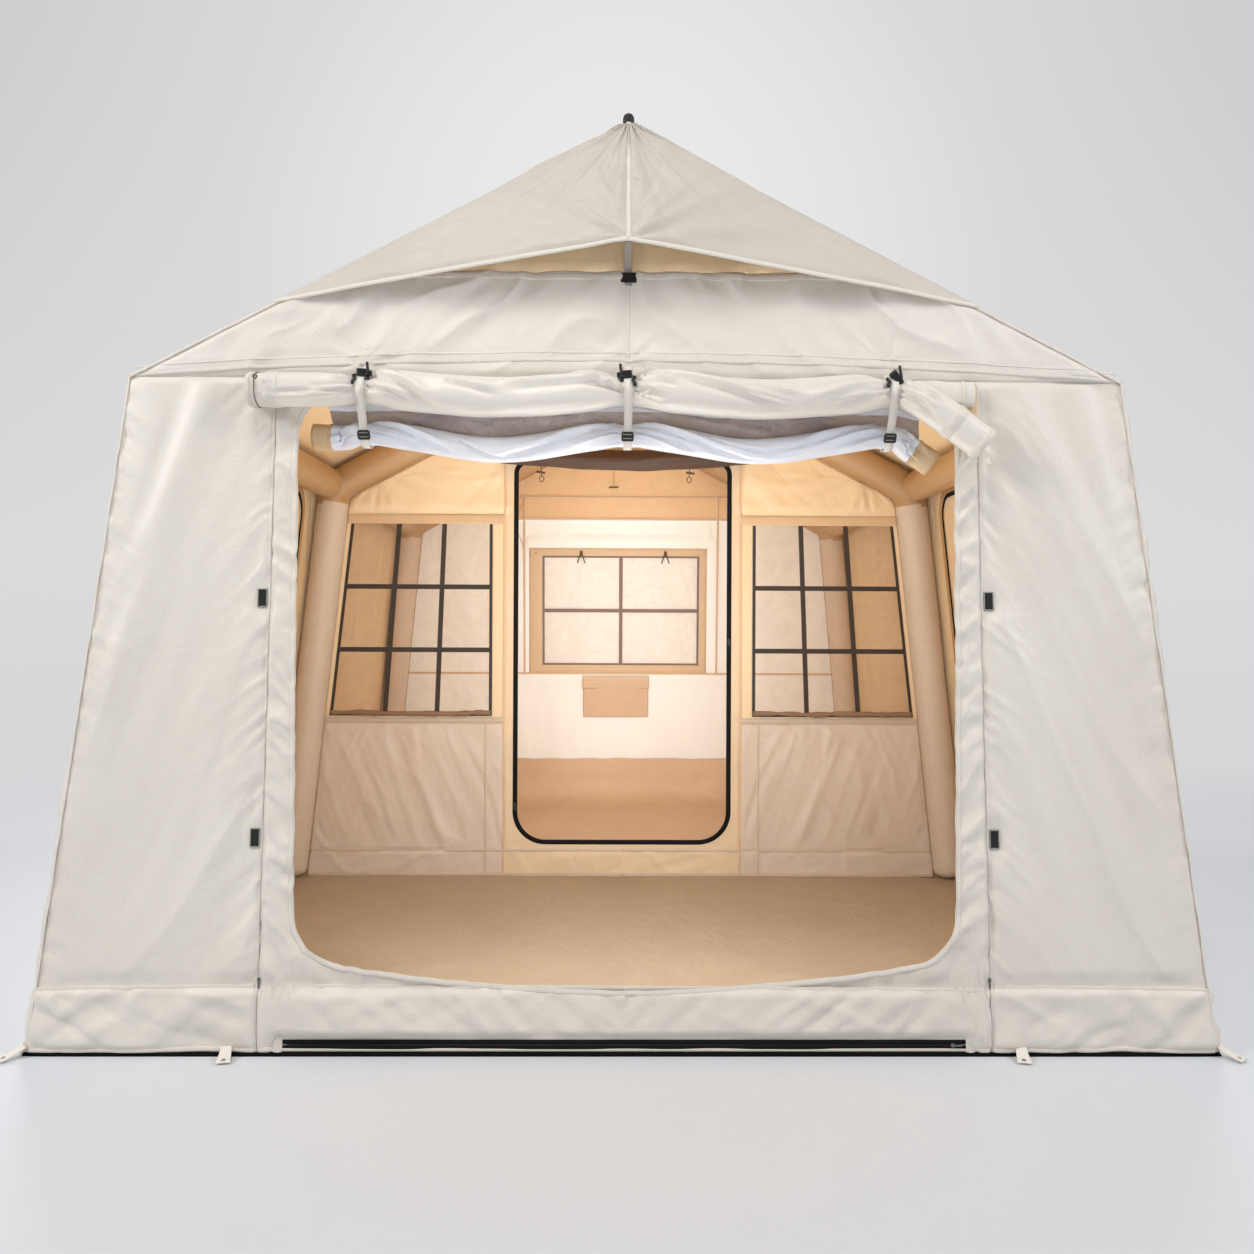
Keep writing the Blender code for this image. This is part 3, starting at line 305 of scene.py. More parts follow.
def lattice(x, y, seed):
    """Smooth noise from -1 to 1: random heights on the corners of a unit grid, joined by an eased slope."""
    heights = np.random.default_rng(seed).uniform(-1, 1, (128, 128))
    i, j = np.floor(x).astype(int), np.floor(y).astype(int)
    u, v = x - i, y - j
    u, v = u * u * u * (u * (u * 6 - 15) + 10), v * v * v * (v * (v * 6 - 15) + 10)
    i, j, i1, j1 = i % 128, j % 128, (i + 1) % 128, (j + 1) % 128
    low = heights[i, j] * (1 - u) + heights[i1, j] * u
    high = heights[i, j1] * (1 - u) + heights[i1, j1] * u
    return low * (1 - v) + high * v


def cloudy(x, y, seed):
    """Two octaves of smooth noise."""
    return lattice(x, y, seed) * 0.7 + lattice(2.1 * x + 7.3, 2.1 * y + 3.1, seed + 1) * 0.3


def folds(x, y, angle, length, width, seed, sharp=1.0):
    """Folds that run at an angle in degrees: noise stretched along it, its crests narrowed by a power."""
    turned = math.radians(angle)
    along = x * math.cos(turned) + y * math.sin(turned)
    beside = y * math.cos(turned) - x * math.sin(turned)
    beside = beside + 0.35 * width * lattice(along / length * 1.7 + 11, beside / width * 0.3, seed + 5)
    height = cloudy(along / length, beside / width, seed)
    return np.sign(height) * np.abs(height) ** sharp


def creases(x, y, angle, length, width, seed, narrow=3.0):
    """Thin crests where stretched noise changes sign: one less its size, to a power."""
    return (1 - np.abs(np.clip(folds(x, y, angle, length, width, seed), -1, 1))) ** narrow


def facets(x, y, angle, length, width, seed):
    """Crumpled cloth, from 0 to 1: where one set of folds changes sign it leaves a sharp groove, and where
    another does, a sharp crest."""
    grooves = np.abs(folds(x, y, angle, length, width, seed))
    crests = 1 - np.abs(folds(x, y, angle + 64, length * 0.8, width * 1.25, seed + 3))
    return 0.55 * grooves + 0.45 * crests


def fan(x, y, place, reach, spokes, seed, sharp=1.0):
    """Folds that spread from a place where the cloth is pulled, and fade away over a length."""
    dx, dy = x - place[0], y - place[1]
    distance = np.hypot(dx, dy)
    turned = np.arctan2(dy, dx)
    height = cloudy(turned * spokes + 31, distance / reach * 0.8, seed)
    return np.sign(height) * np.abs(height) ** sharp * np.exp(-distance / reach) * ease(distance / 0.02)


def ease(share):
    """A smooth step from 0 to 1."""
    share = np.clip(share, 0, 1)
    return share * share * (3 - 2 * share)


def fading(distance, reach):
    return np.exp(-np.abs(distance) / reach)


def unit(vector):
    vector = np.asarray(vector, float)
    return vector / np.linalg.norm(vector, axis=-1, keepdims=True)


class Wall:
    """A flat side of the tent: x runs along it, y up its slope and z out of it, from its foot."""

    def __init__(self, normal, foot):
        self.normal = unit(normal)
        self.foot = np.asarray(foot, float)
        self.across = unit(np.cross([0, 0, 1], self.normal))
        self.up = np.cross(self.normal, self.across)

    def place(self, x, y, out=0.0):
        x, y, out = np.broadcast_arrays(x, y, out)
        in_plane = self.foot + x[..., None] * self.across + y[..., None] * self.up
        return in_plane + out[..., None] * self.normal

    def along(self, path, out=0.0):
        """A path of (x, y) points on the wall, in space."""
        return self.place(path[:, 0], path[:, 1], out)


FRONT = Wall((0, -EAVE, END_LEAN), (0, -HALF_DEPTH, 0))
REAR = Wall((0, EAVE, END_LEAN), (0, HALF_DEPTH, 0))
LEFT = Wall((-EAVE, 0, SIDE_LEAN), (-HALF_WIDTH, 0, 0))
RIGHT = Wall((EAVE, 0, SIDE_LEAN), (HALF_WIDTH, 0, 0))
EAVE_X = HALF_WIDTH - SIDE_LEAN
RISE = RIDGE - EAVE
LEFT_ROOF = Wall((-RISE, 0, EAVE_X), (-EAVE_X, 0, EAVE))
RIGHT_ROOF = Wall((RISE, 0, EAVE_X), (EAVE_X, 0, EAVE))
MIDDLE = Wall((0, -1, 0), (0, 0, 0))


def fabric(name, colour, shade, roughness, crinkle=0.0006, weave=0.00003, patches=1.4, crease_darkening=0.25, **fixed):
    """Coated cloth: a plain weave of crossed sines, fine creases where noise changes sign, and soft patches
    of a second colour. Heights are in metres, on the cloth's own flat coordinates."""
    graph = Graph(name)
    flat, x, y = graph.cloth_place()
    threads = 2 * math.pi / 0.0016
    woven = (x * threads).math("SINE") * (y * threads).math("SINE")
    rough = graph.noise(flat, 11, 4, 0.6, 1.5)
    line = (1 - abs(rough * 2 - 1)) ** 9
    lumps = graph.noise(flat, 9, 2, 0.5, 0.4)
    height = woven * weave + line * (crinkle * 0.5) + lumps * (crinkle * 1.5)
    cloud = graph.noise(graph.object_place(), patches, 3)
    base = graph.mix((cloud - 0.35) * 1.6, colour, shade)
    # The fine crease lines are darkened towards the second colour by this share.
    base = graph.mix(line * crease_darkening, base, shade)
    base = graph.mix(woven * 0.04 + 0.04, base, shade)
    gloss = lumps * 0.14 + (roughness - 0.07)
    inputs = {"Base Color": base, "Roughness": gloss, "Normal": graph.bump(height)}
    return graph.coated({**inputs, **fixed})


def cloth(name, patches, finish, lining=None, thickness=0.0016, weld=False):
    """One piece of cloth from patches, each a grid of points with their flat coordinates, its outer side
    given and its thickness added behind."""
    made = []
    for points, flat in patches:
        made.append(shown(name, grid_mesh(name, points, flat), finish, lining or finish))
    piece = made[0]
    if len(made) > 1:
        with bpy.context.temp_override(active_object=piece, selected_editable_objects=made):
            bpy.ops.object.join()
    if weld:
        welded = piece.modifiers.new("Closed", "WELD")
        welded.merge_threshold = 0.00002
    if thickness:
        solid = piece.modifiers.new("Thickness", "SOLIDIFY")
        solid.thickness = thickness
        solid.offset = -1
        solid.material_offset = 1
        solid.material_offset_rim = 0
    return piece


def ruled(first, second, rows):
    """A grid of (rows, columns, 2) between two curves of as many points."""
    share = np.linspace(0, 1, rows)[:, None, None]
    return np.asarray(first)[None] * (1 - share) + np.asarray(second)[None] * share


def line(start, end, count):
    share = np.linspace(0, 1, count)[:, None]
    return np.asarray(start, float) * (1 - share) + np.asarray(end, float) * share


def on_wall(wall, flat, relief, out=0.0):
    """A patch on a wall: its points lie out of the wall by their relief."""
    x, y = flat[..., 0], flat[..., 1]
    return wall.place(x, y, relief(x, y) + out), flat


def swept(path, side, out, profile):
    """A profile of (side, out) points carried along a path whose directions are given at each point."""
    return path[:, None] + side[:, None] * profile[None, :, :1] + out[:, None] * profile[None, :, 1:]


def flat_section(width, height, points=6):
    """The closed outline of a tape that is domed on top and flat below."""
    across = np.cos(np.linspace(0, math.pi, points)) * width / 2
    top = height * (1 - (2 * across / width) ** 4)
    return np.concatenate([np.stack([across, top], 1), [[-width / 2, -0.001], [width / 2, -0.001]]])


def lengths(path):
    steps = np.linalg.norm(np.diff(path, axis=0), axis=1)
    return np.concatenate([[0], np.cumsum(steps)])


def tape(name, path, out, width, height, finish, closed=False):
    """A domed tape along a path in space, its top turned to the directions given."""
    ahead = np.roll(path, -1, axis=0) - np.roll(path, 1, axis=0)
    if not closed:
        ahead[0], ahead[-1] = path[1] - path[0], path[-1] - path[-2]
    out = np.broadcast_to(out, path.shape)
    side = unit(np.cross(ahead, out))
    section = flat_section(width, height)
    points = swept(path, side, out, section)
    run = lengths(path)
    if closed:
        points = np.concatenate([points, points[:1]])
        run = np.append(run, run[-1] + np.linalg.norm(path[0] - path[-1]))
    uv = np.stack(np.broadcast_arrays(run[:, None], section[None, :, 0]), axis=-1)
    piece = shown(name, grid_mesh(name, points[:, ::-1], uv[:, ::-1], wrap=True, caps=not closed), finish)
    return piece


graph = Graph("tub_floor")
flat, x, y = graph.cloth_place()
threads = 2 * math.pi / 0.002
woven = (x * threads).math("SINE") * (y * threads).math("SINE")
dents = graph.noise(flat, 5, 5, 0.6, 1.0)
scuffs = graph.noise(flat, 24, 5, 0.7, 2.0)
base = graph.mix((dents - 0.3) * 1.4, tone(180, 160, 136), tone(158, 138, 114))
base = graph.mix(scuffs * 0.35, base, tone(172, 154, 132))
height = dents * 0.0025 + (1 - abs(dents * 2 - 1)) ** 8 * 0.0010 + woven * 0.00005
tub_floor = graph.coated({
    "Base Color": base,
    "Roughness": scuffs * 0.2 + 0.28,
    "Specular IOR Level": 0.45,
    "Normal": graph.bump(height),
})
# Near-black: the sheet's own underside, and painted contact shadow where the edge tape uses the same finish.
graph = Graph("black_underside_and_shadow")
grain = graph.noise(graph.object_place(), 90, 3)
black_underside_and_shadow = graph.coated({
    "Base Color": graph.mix(grain, tone(5, 5, 6), tone(13, 13, 14)),
    "Roughness": grain * 0.2 + 0.6,
    "Specular IOR Level": 0.1,
    "Normal": graph.bump(grain * 0.0004),
})

low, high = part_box("ground_sheet")
floor_x, floor_y = np.meshgrid(np.linspace(low.x, high.x, 96), np.linspace(low.y, high.y, 120))


def floor_height(x, y):
    """Small ripples and creases; the sheet's border lies flat."""
    edge = np.minimum(high.x - np.abs(x), high.y - np.abs(y))
    ripple = 0.006 * (0.5 + 0.5 * cloudy(x / 0.5, y / 0.35, 2))
    ripple = ripple + 0.004 * creases(x, y, 8, 0.9, 0.20, 3) + 0.003 * creases(x, y, 78, 0.8, 0.24, 4)
    return FLOOR_TOP + ripple * ease(edge / 0.15)


floor_points = np.stack([floor_x, floor_y, floor_height(floor_x, floor_y)], axis=-1)
floor_flat = np.stack([floor_x, floor_y], axis=-1)
ground_sheet = cloth("ground_sheet_cloth", [(floor_points, floor_flat)], tub_floor, black_underside_and_shadow, 0.0028)
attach(ground_sheet, "tent")
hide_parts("ground_sheet")

# The edge tape is painted shadow: a near-black band round the foot that stands for the contact shadow below the
# hems.
corners = np.array([[-1, -1], [1, -1], [1, 1], [-1, 1]]) * (HALF_WIDTH + 0.002, HALF_DEPTH + 0.002)
edge_path = np.concatenate([line(corners[i], corners[(i + 1) % 4], 60)[:-1] for i in range(4)])
edge_path = np.column_stack([edge_path, np.full(len(edge_path), 0.001)])
tub_shadow_edge = tape("ground_sheet_shadow_edge", edge_path, (0, 0, 1), *TUB_SHADOW_EDGE, black_underside_and_shadow, closed=True)
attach(tub_shadow_edge, "tent")


# Front wall
# Two fixed panels and an entrance panel of coated cream cloth, tan inside, joined by upright zips. The cloth
# is cut a little full, so it hangs in long folds between the corners and puckers along every seam. A separate
# hem panel runs along the foot.
EAVE_UP = math.hypot(EAVE, END_LEAN)
SEAM_X = 0.985
HEM_UP = 0.180
HEM_TAPE, SEAM_TAPE = (0.013, 0.0022), (0.012, 0.0020)
EDGE_TAPE, FOOT_TAPE = (0.016, 0.0028), (0.014, 0.0030)
EAVE_BOW = 0.050
TAB_X, TAB_UP = 1.008, (0.575, 1.23)
SIDES = ((-1, "left"), (1, "right"))

cream = tone(233, 227, 217)
cream_shade = tone(221, 213, 202)
cream_cloth = fabric("cream_cloth", cream, cream_shade, 0.44, 0.0007, crease_darkening=0.14)
# The gable and the fly are the walls' cream cloth in lit and shaded copies: painted light makes the gable's a
# touch paler, painted shade makes the fly's darker.
gable_cream_lit = fabric("gable_cream_lit", tone(234, 228, 219), tone(223, 216, 206), 0.44, 0.0007, crease_darkening=0.14)
fly_cream_shaded = fabric("fly_cream_shaded", tone(212, 204, 193), tone(198, 189, 177), 0.46, 0.0007, crease_darkening=0.14)
tan_lining = fabric("tan_lining", tone(230, 202, 166), tone(214, 184, 148), 0.62, 0.0009)


def corner_x(y):
    """The outer edge of the front wall, which leans in with height."""
    return HALF_WIDTH - SIDE_LEAN * y / EAVE_UP


def front_relief(x, y):
    """Broad swell, long folds that rise towards the entrance, puckers that slant away from both seams, and
    a crumpled hem panel, all fading out at the wall's corners."""
    inward = -np.abs(x)
    tall = y + 4.3 * (x > 0)
    beyond = np.abs(x) - SEAM_X
    to_corner = corner_x(y) - np.abs(x)
    panel = ease(beyond / 0.04) * ease(to_corner / 0.10)
    main = ease((y - HEM_UP) / 0.05)
    swell = 0.006 + 0.005 * cloudy(x / 0.55, y / 0.9, 11)
    long = 0.0190 * folds(inward, tall, 69, 1.3, 0.115, 12) * ease((y - 0.1) / 0.5)
    thin = 0.0080 * creases(inward, tall, 64, 1.1, 0.17, 13, 3) * ease((1.8 - y) / 0.8)
    wall = (swell + long + thin) * panel * main
    outer = 0.0120 * creases(inward, tall, 47, 0.20, 0.036, 14, 2) * fading(beyond, 0.075) * (beyond > 0)
    inner = 0.0120 * creases(inward, tall, 136, 0.18, 0.050, 15, 2)
    inner = inner + 0.0130 * facets(inward, tall, 140, 0.16, 0.040, 21)
    inner = inner * ease(-beyond / 0.008) * (beyond < 0) * ease((y - HEM_UP) / 0.040)
    rim = 0.0070 * folds(inward, tall, 146, 0.14, 0.032, 16) * fading(to_corner, 0.06) * main
    crumpled = 0.0320 * facets(inward, tall, 148, 0.30, 0.085, 17) + 0.0080 * folds(x, y, 40, 0.2, 0.05, 18)
    from_middle = ease((np.abs(x) - 0.2) / 0.4)
    pulled = 0.0260 * facets(inward, tall, 143, 0.50, 0.052, 20) * (0.45 + 0.55 * from_middle)
    pulled = pulled + 0.0120 * creases(inward, tall, 140, 0.40, 0.075, 22, 2)
    hem = np.where(beyond > 0, crumpled, pulled) * ease(y / 0.035) * ease((HEM_UP - y) / 0.02)
    stitched = 0.0045 * folds(x, y, 78, 0.10, 0.026, 19) * fading(y - HEM_UP, 0.035)
    height = wall + outer * main + inner + rim + hem + stitched
    sewn = ease(np.abs(beyond) / 0.010) * ease(np.abs(y - HEM_UP) / 0.008)
    for up in TAB_UP:
        sewn = sewn * ease(np.hypot((np.abs(x) - TAB_X) / 0.030, (y - up) / 0.050) - 0.6)
    sewn = sewn * (1 - (np.abs(x) < 0.95) * ease((0.062 - y) / 0.012))
    return height * sewn * ease(to_corner / 0.012) * ease((EAVE_UP - y) / 0.02) * ease(y / 0.006)


def front_panel(side):
    """A fixed panel, ruled from its seam to the tent's corner."""
    ups = np.linspace(0.001, EAVE_UP, 230)
    seam = np.stack([np.full_like(ups, side * (SEAM_X + 0.0004)), ups], axis=1)
    corner = np.stack([side * corner_x(ups), ups], axis=1)
    flat = ruled(seam, corner, 76)
    return on_wall(FRONT, flat if side < 0 else flat[::-1], front_relief)


def wall_tape(name, wall, flat, relief, size, finish, lift=0.0, closed=False):
    """A tape sewn along a path on a wall's cloth."""
    path = wall.along(flat, relief(flat[:, 0], flat[:, 1]) + lift)
    piece = tape(name, path, wall.normal, *size, finish, closed)
    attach(piece, "tent")
    return piece


def stitched_cloth(name, colour, shade, width, roughness=0.5):
    """Tape with a row of stitches near each edge: dashes along its length, sunk a little."""
    graph = Graph(name)
    flat, x, y = graph.cloth_place()
    dash = (x * (2 * math.pi / 0.0042)).math("SINE").math("GREATER_THAN", -0.2)
    row = (abs(abs(y) - (width / 2 - 0.0024)) * -1 + 0.0007).math("GREATER_THAN", 0.0)
    threads = (x * (2 * math.pi / 0.0016)).math("SINE") * (y * (2 * math.pi / 0.0016)).math("SINE")
    rough = graph.noise(flat, 60, 3)
    base = graph.mix(rough * 0.7, colour, shade)
    base = graph.mix(row * (0.25 + dash * 0.45), base, graph.mix(dash, tone(150, 136, 120), shade))
    height = row * dash * 0.0004 - row * 0.0003 + threads * 0.00005 + rough * 0.0005
    return graph.coated({"Base Color": base, "Roughness": roughness, "Normal": graph.bump(height)})


cream_tape = stitched_cloth("cream_tape", tone(236, 231, 222), tone(214, 205, 193), 0.013)
cream_binding = stitched_cloth("cream_binding", tone(234, 228, 219), tone(218, 210, 199), 0.016)

for side, label in SIDES:
    panel = cloth(f"front_{label}_wall_cloth", [front_panel(side)], cream_cloth, tan_lining)
    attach(panel, "tent")
    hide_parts(f"front_{label}_wall")


def rounded_corner(corner, before, after, radius, count):
    """The arc that rounds a corner of an outline, from its first tangent point to its second."""
    corner = np.array(corner, float)
    back, on = unit(before - corner), unit(after - corner)
    half = math.acos(np.clip(back @ on, -1, 1)) / 2
    centre = corner + unit(back + on) * radius / math.sin(half)
    start, end = (corner + way * radius / math.tan(half) - centre for way in (back, on))
    sweep = math.pi - 2 * half
    share = np.linspace(0, sweep, count)[:, None]
    return centre + (start * np.sin(sweep - share) + end * np.sin(share)) / math.sin(sweep)


def spaced(path, count, closed=True):
    """The same outline with its points evenly spaced along it."""
    if closed:
        path = np.concatenate([path, path[:1]])
    run = lengths(path)
    wanted = np.linspace(0, run[-1], count, endpoint=not closed)
    return np.stack([np.interp(wanted, run, path[:, axis]) for axis in range(path.shape[1])], axis=1)


DOOR_TOP = EAVE - 0.05
DOOR_TOP_HALF, DOOR_FOOT_HALF = 0.93, 0.90
DOOR_FOOT, DOOR_SAG = 0.225, 0.060
DOOR_TOP_ROUND, DOOR_FOOT_ROUND = 0.12, 0.17


def door_outline(count):
    """The entrance, anticlockwise from its lower left: a bottom edge that sags as a parabola, and sides that
    spread with height, with rounded corners."""
    reach = DOOR_FOOT_HALF - DOOR_FOOT_ROUND
    share = np.linspace(-1, 1, 41)
    bottom = np.stack([reach * share, DOOR_FOOT - DOOR_SAG * (1 - share**2)], axis=1)
    foot = (DOOR_FOOT_HALF, DOOR_FOOT + DOOR_FOOT_ROUND * 2 * DOOR_SAG / reach)
    top = (DOOR_TOP_HALF, DOOR_TOP)
    side = np.concatenate([
        rounded_corner(foot, bottom[-1], top, DOOR_FOOT_ROUND - 0.017, 16),
        rounded_corner(top, foot, (0, DOOR_TOP), DOOR_TOP_ROUND, 14),
    ])
    return spaced(np.concatenate([bottom, side, side[::-1] * (-1, 1)]), count)


def ring(outline, border, rows, crowd=1.0):
    """A patch between a hole and the straight borders of its panel. Each point of the hole's outline meets
    the border that lies straight out from it, and the point nearest to a corner is moved onto it. The rows'
    shares are raised to a power that crowds them towards the borders."""
    ahead = np.roll(outline, -1, axis=0) - np.roll(outline, 1, axis=0)
    for _ in range(3):
        ahead = ahead + np.roll(ahead, 1, axis=0) + np.roll(ahead, -1, axis=0)
    outward = unit(np.stack([ahead[:, 1], -ahead[:, 0]], axis=1))
    border = np.asarray(border, float)
    nearest = np.full(len(outline), np.inf)
    for start, end in zip(border, np.roll(border, -1, axis=0)):
        wall = unit(end - start)
        normal = np.array([wall[1], -wall[0]])
        reach = (start - outline) @ normal / np.maximum(outward @ normal, 1e-6)
        reach = np.where((reach > 0) & (outward @ normal > 1e-3), reach, np.inf)
        nearest = np.minimum(nearest, reach)
    outer = outline + outward * nearest[:, None]
    for corner in border:
        outer[np.argmin(np.linalg.norm(outer - corner, axis=1))] = corner
    share = (np.linspace(0, 1, rows) ** crowd)[:, None, None]
    flat = outer[None] * (1 - share) + outline[None] * share
    return np.concatenate([flat, flat[:, :1]], axis=1)


panel_border = [(-SEAM_X, 0.001), (SEAM_X, 0.001), (SEAM_X, EAVE_UP), (-SEAM_X, EAVE_UP)]
entrance_patch = on_wall(FRONT, ring(door_outline(680), panel_border, 20), front_relief)
entrance = cloth("front_door_frame_cloth", [entrance_patch], cream_cloth, tan_lining, weld=True)
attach(entrance, "tent")
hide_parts("front_door_frame")

wall_tape("door_binding", FRONT, door_outline(500), front_relief, EDGE_TAPE, cream_binding, 0.0004, True)
for side, label in SIDES:
    hem_line = line((side * (SEAM_X + 0.012), HEM_UP), (side * corner_x(HEM_UP), HEM_UP - 0.008), 120)
    wall_tape(f"{label}_hem_seam", FRONT, hem_line, front_relief, HEM_TAPE, cream_tape)
hem_line = line((-SEAM_X + 0.012, HEM_UP), (SEAM_X - 0.012, HEM_UP - 0.008), 240)
wall_tape("sill_hem_seam", FRONT, hem_line, front_relief, HEM_TAPE, cream_tape)
foot_line = line((-HALF_WIDTH + 0.004, 0.0165), (HALF_WIDTH - 0.004, 0.0165), 320)
wall_tape("front_foot_hem", FRONT, foot_line, front_relief, FOOT_TAPE, cream_tape)


# Entrance zips
# A long coil zip closes each upright seam: two cream tapes with a coil between them, and a metal slider parked
# near the foot.
ZIP_TAPE = (0.0108, 0.0018)
ZIP_OFFSET = 0.0058
COIL_RADIUS = 0.0020
ZIP_TOP = 1.845

graph = Graph("zip_coil")
teeth = (graph.cloth_place()[1] * (2 * math.pi / 0.0022)).math("SINE")
zip_coil = graph.coated({
    "Base Color": graph.mix(teeth * 0.5 + 0.5, tone(200, 191, 178), tone(226, 219, 208)),
    "Roughness": 0.42,
    "Normal": graph.bump(teeth * 0.0003),
})
graph = Graph("slider_metal")
scratch = graph.noise(graph.object_place(), 260, 3)
slider_metal = graph.coated({
    "Base Color": graph.mix(scratch, tone(150, 146, 140), tone(96, 93, 88)),
    "Metallic": 0.9,
    "Roughness": scratch * 0.25 + 0.25,
})


def cord_round(name, path, radius, finish, points=8):
    """A thin round cord or coil along a path in space."""
    ahead = np.gradient(path, axis=0)
    level = abs(unit(ahead[0])[2]) < 0.9
    side = unit(np.cross(ahead, [0.03, -0.2, 0.98] if level else [0.0, 1, 0.1]))
    out = unit(np.cross(side, ahead))
    turn = np.linspace(0, 2 * math.pi, points, endpoint=False)
    profile = np.stack([np.cos(turn), np.sin(turn)], axis=1) * radius
    uv = np.stack(np.broadcast_arrays(lengths(path)[:, None], turn[None] * radius), axis=-1)
    mesh = grid_mesh(name, swept(path, side, out, profile), uv, wrap=True, caps=True)
    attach(shown(name, mesh, finish), "tent")


def zip_slider(name, place, out, up, size, finish):
    """A slider and its pull: two rounded blocks, each a grid of a squared circle carried down its length."""
    side = unit(np.cross(up, out))
    turn = np.linspace(0, 2 * math.pi, 20, endpoint=False)
    squared = np.stack([np.sign(np.cos(turn)) * np.abs(np.cos(turn)) ** 0.5,
                        np.sign(np.sin(turn)) * np.abs(np.sin(turn)) ** 0.5], axis=1)
    parts = []
    for start, end, width, thick, lift in ((0, 0.4, 1.0, 1.0, 0.5), (0.34, 1.0, 0.55, 0.35, 0.85)):
        run = np.linspace(start, end, 9)
        bulge = np.sqrt(np.clip(1 - (2 * (run - start) / (end - start) - 1) ** 6, 0.05, 1))
        middle = place - np.outer(run * size[2], up) + np.asarray(out) * size[1] * lift
        section = squared[None] * bulge[:, None, None] * np.array([width * size[0], thick * size[1]]) / 2
        points = middle[:, None] + section[..., :1] * side + section[..., 1:] * np.asarray(out)
        parts.append(shown(name, grid_mesh(name, points, wrap=True, caps=True), finish))
    with bpy.context.temp_override(active_object=parts[0], selected_editable_objects=parts):
        bpy.ops.object.join()
    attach(parts[0], "tent")


for side, label in SIDES:
    for turn_side, edge_label in ((-1, "outer"), (1, "inner")):
        x = side * SEAM_X + turn_side * ZIP_OFFSET
        zip_line = line((x, 0.006), (x, ZIP_TOP), 260)
        wall_tape(f"{label}_zip_{edge_label}_tape", FRONT, zip_line, front_relief, ZIP_TAPE, cream_tape)
    coil = line((side * SEAM_X, 0.010), (side * SEAM_X, ZIP_TOP), 260)
    cord_round(f"{label}_zip_coil", FRONT.along(coil, 0.0012), COIL_RADIUS, zip_coil, 6)
    zip_slider(f"{label}_entrance_slider", FRONT.place(side * SEAM_X, 0.205, 0.0015), FRONT.normal,
               FRONT.up, (0.009, 0.005, 0.030), slider_metal)


# Gable
# The cream gable panel hangs from the roof's edge, with soft slanting folds, and ends at a gathered double seam.
# Above it an airy vent panel shows under the hood, painted pale tan for the warm light from inside that shines
# through it. An upright seam runs down the middle.
VENT_UP = (2.215 - 0.055) * EAVE_UP / EAVE
PEAK_UP = RIDGE * EAVE_UP / EAVE
MID_SEAM = (0.011, 0.0018)

# Painted light: the vent's pale tan stands for the warm glow of the light inside shining through it.
vent_glow_tan = fabric("vent_glow_tan", tone(242, 219, 182), tone(228, 199, 156), 0.65, 0.0007)


def rake_x(y):
    """The roof's edge on the front wall, at a distance up it."""
    return np.maximum((RIDGE - y * EAVE / EAVE_UP) * EAVE_X / RISE, 0)


def gable_relief(x, y):
    """Folds that slant from the hood down to the eave, gathers under the vent's seam, and pulls at the places
    where the roll straps are sewn on."""
    to_rake = rake_x(y) - np.abs(x)
    outward, tall = np.abs(x), y + 3 * (x > 0)
    slanting = 0.0130 * folds(outward, tall, 124, 0.40, 0.085, 31, 1.2) * ease((y - 1.88) / 0.12)
    slanting = slanting + 0.0090 * creases(outward, tall, 130, 0.34, 0.13, 32, 4)
    gathers = 0.0060 * folds(x, y, 74, 0.12, 0.032, 33) * fading(y - VENT_UP, 0.035)
    level = 0.0030 * folds(x, y, 4, 0.5, 0.045, 34) * fading(y - EAVE_UP - 0.05, 0.06)
    pulls = sum(0.0085 * fan(x, y, (at, EAVE_UP + 0.05), 0.16, 3.1, 35 + i)
                for i, at in enumerate(STRAP_X))
    corners = 0.0050 * fan(np.abs(x), y, (1.38, EAVE_UP), 0.45, 4.5, 39)
    height = 0.005 + slanting + gathers + level + pulls + corners
    return height * ease(to_rake / 0.05) * ease(np.abs(x) / 0.030) * ease((y - EAVE_UP) / 0.02)


STRAP_X = (-0.735, 0.0, 0.735)


def gable_grid(bottom, top, rows, columns):
    """A patch from rake to rake, between two heights."""
    ups = np.linspace(bottom, top, rows)
    rake = np.stack([rake_x(ups), ups], axis=1)
    return np.swapaxes(ruled(rake * (-1, 1), rake, columns), 0, 1)


gable_flat = gable_grid(EAVE_UP, VENT_UP, 42, 250)
# The gable's paler cream is painted light.
gable = cloth("front_gable_cloth", [on_wall(FRONT, gable_flat, gable_relief)], gable_cream_lit, tan_lining)
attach(gable, "tent")
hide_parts("front_gable")


def vent_relief(x, y):
    """Soft slanting folds, shallow enough to stay under the hood."""
    to_rake = rake_x(y) - np.abs(x)
    height = 0.006 + 0.007 * folds(x, y, 62, 0.3, 0.10, 41, 1.2) + 0.003 * creases(x, y, 55, 0.2, 0.08, 42)
    return height * ease(to_rake / 0.08) * ease((np.abs(x) - 0.018) / 0.030) * ease((y - VENT_UP) / 0.02)


vent_flat = gable_grid(VENT_UP, PEAK_UP - 0.003, 48, 124)
vent = cloth("front_vent_cloth", [on_wall(FRONT, vent_flat, vent_relief)], vent_glow_tan, tan_lining)
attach(vent, "tent")
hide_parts("front_vent")

